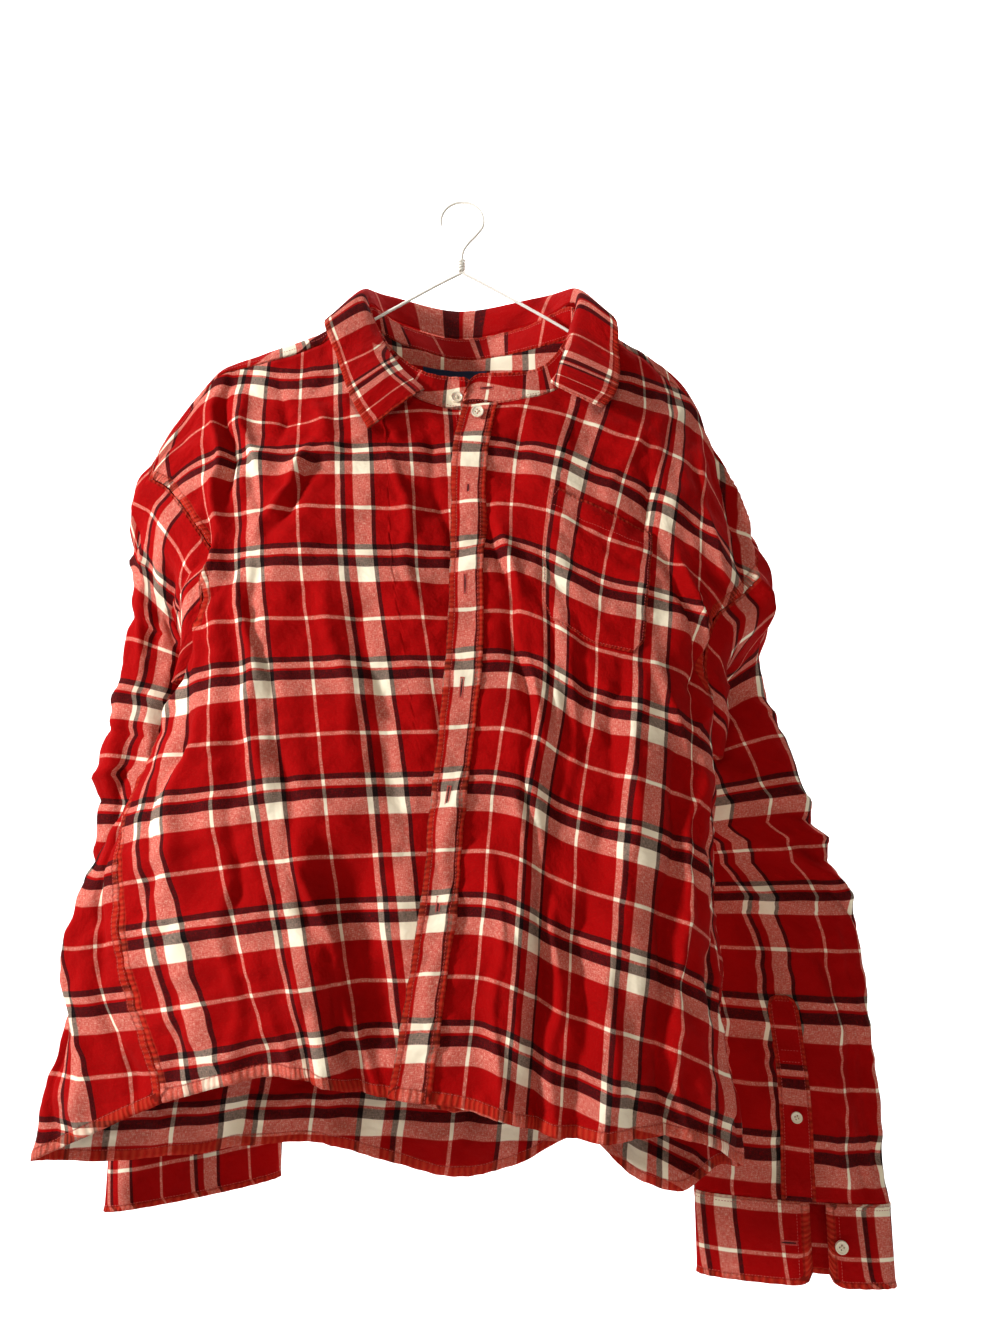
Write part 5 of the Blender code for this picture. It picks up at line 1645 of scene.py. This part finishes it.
reach = np.linspace(0, ARM[-1][0], 90)
arm = [(x, 0, z) for x, z in zip(reach, spline([x for x, _ in ARM], [z for _, z in ARM], reach))]
end_x, end_z = arm[-1][0], arm[-1][2]
bend_middle, bend_radius = (end_z + BAR_DROP) / 2, (end_z - BAR_DROP) / 2
loop = [(end_x + bend_radius * math.sin(turn), 0, bend_middle + bend_radius * math.cos(turn))
        for turn in np.linspace(0, math.pi, 24)[1:]]
half = arm[1:] + loop
straight = [(x, 0, BAR_DROP) for x in np.linspace(end_x, -end_x, 60)[1:-1]]
mirrored = [(-x, y, z) for x, y, z in half[::-1]]
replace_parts(bent_wire("vinyl_hanger_frame", arm[:1] + half + straight + mirrored, WIRE,
                      closed=True), "hanger_frame")

bend = [(HOOK_RADIUS * math.cos(turn), 0, HOOK_RADIUS * (math.sin(turn) - 1) + WIRE)
        for turn in np.radians(np.linspace(-20, 195, 70))]
knots = np.array(((0, ARM[0][1] + WIRE + 0.3), *STEM, (bend[0][0], bend[0][2])))
ways = along_path(knots)
stem = [(x, 0, z) for x, z in spline(ways, knots, np.linspace(0, ways[-1], 46))[:-1]]
thick = np.full(len(stem) + len(bend), WIRE)
thick[-4:] = WIRE * np.array((0.98, 0.85, 0.6, 0.25))
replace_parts(bent_wire("vinyl_hanger_hook", stem + bend, thick), "hanger_hook")

TWIST_RADIUS, TWIST_TURNS, TWIST_TOP = WIRE + 1.15, 4, -78
coils = [(TWIST_RADIUS * math.cos(turn), TWIST_RADIUS * math.sin(turn), TWIST_TOP + turn * 0.5)
         for turn in np.linspace(0, 2 * math.pi * TWIST_TURNS, 120)]
bent_wire("hanger_twist", coils, 1.1, roundness=3)


# ---- Stage, lights and camera -----------------------------------------------------------------

def light(name, place, aim, size, power, colour):
    data = bpy.data.lights.new(name, "AREA")
    data.energy, data.size, data.color = power, size, linear(colour)[:3]
    made = linked(name, data)
    made.location = place
    made.rotation_euler = (Vector(aim) - Vector(place)).to_track_quat("-Z", "Y").to_euler()


def pick_edges(made, wanted):
    """Selects only the edges whose two ends are wanted."""
    bpy.ops.mesh.select_mode(type="EDGE")
    bpy.ops.mesh.select_all(action="DESELECT")
    bpy.ops.object.mode_set(mode="OBJECT")
    places = made.data.vertices
    for edge in made.data.edges:
        edge.select = all(wanted(places[end].co) for end in edge.vertices)
    bpy.ops.object.mode_set(mode="EDIT")


def backdrop():
    """A pale paper floor that sweeps up behind into a wall."""
    front, back, floor, top, sweep = -4.0, 2.8, -2.2, 6.0, 0.9
    bpy.ops.object.select_all(action="DESELECT")
    bpy.ops.mesh.primitive_plane_add(size=1, location=(0, 0, 0))
    made = new_primitive()
    made.name = made.data.name = "backdrop"
    bpy.ops.transform.resize(value=(16.0, back - front, 1))
    bpy.ops.transform.translate(value=(0, (front + back) / 2, floor))
    pick_edges(made, lambda place: place.y > back - 0.01)
    bpy.ops.mesh.extrude_region_move(TRANSFORM_OT_translate={"value": (0, 0, top - floor)})
    pick_edges(made, lambda place: place.y > back - 0.01 and place.z < floor + 0.01)
    bpy.ops.mesh.bevel(offset=sweep, segments=13)
    bpy.ops.mesh.select_all(action="SELECT")
    bpy.ops.mesh.normals_make_consistent(inside=False)
    bpy.ops.object.mode_set(mode="OBJECT")
    bpy.ops.object.shade_smooth()
    made.select_set(False)
    paper, tree, shader = new_material("white_background_paper", "F4F4F4", 0.9)
    place = node(tree, "TexCoord", out="Object")
    grain = node(tree, "TexNoise", {"Vector": place, "Scale": 400.0})
    tone = node(tree, "Mix", {0: grain, 6: linear("F2F2F2"), 7: linear("FAFAFA")}, **COLOURS)
    plug(tree, shader, {"Base Color": tone})
    made.data.materials.append(paper)
    return made


backdrop()
world = bpy.data.worlds.new("studio")
bpy.context.scene.world = world
world.use_nodes = True
plug(world.node_tree, world.node_tree.nodes["Background"],
     {"Color": linear("FFFFFF"), "Strength": 0.13})
# Each light: its name, its place, what it aims at, its size in metres, its watts and its colour.
for lamp in (("key", (-1.6, -0.85, 0.05), (0.08, 0, -0.66), 0.25, 45, "FFFFFF"),
             ("fill", (-0.1, -2.3, -0.1), (0, 0, -0.7), 1.0, 12, "FFEBD2"),
             ("low_lamp", (0.62, -0.9, -1.3), (0.2, 0, -0.85), 0.4, 0.4, "FFD9A8"),
             ("wall_wash", (0, 1.3, 2.2), (0, 2.8, 0.9), 4.0, 260, "FFFFFF"),
             ("wall_wash_low", (0, 1.0, -1.9), (0, 2.8, -0.6), 3.0, 120, "FFFFFF")):
    light(*lamp)

eye = bpy.data.cameras.new("eye")
eye.lens, eye.sensor_fit, eye.sensor_height = 27.0, "VERTICAL", 36.0
eye.clip_end = 50
camera = linked("eye", eye)
camera.location = (0.039, -0.925, -0.668)
camera.rotation_euler = (math.radians(101), 0, 0)
bpy.context.scene.camera = camera
bpy.context.scene.view_settings.view_transform = "Standard"
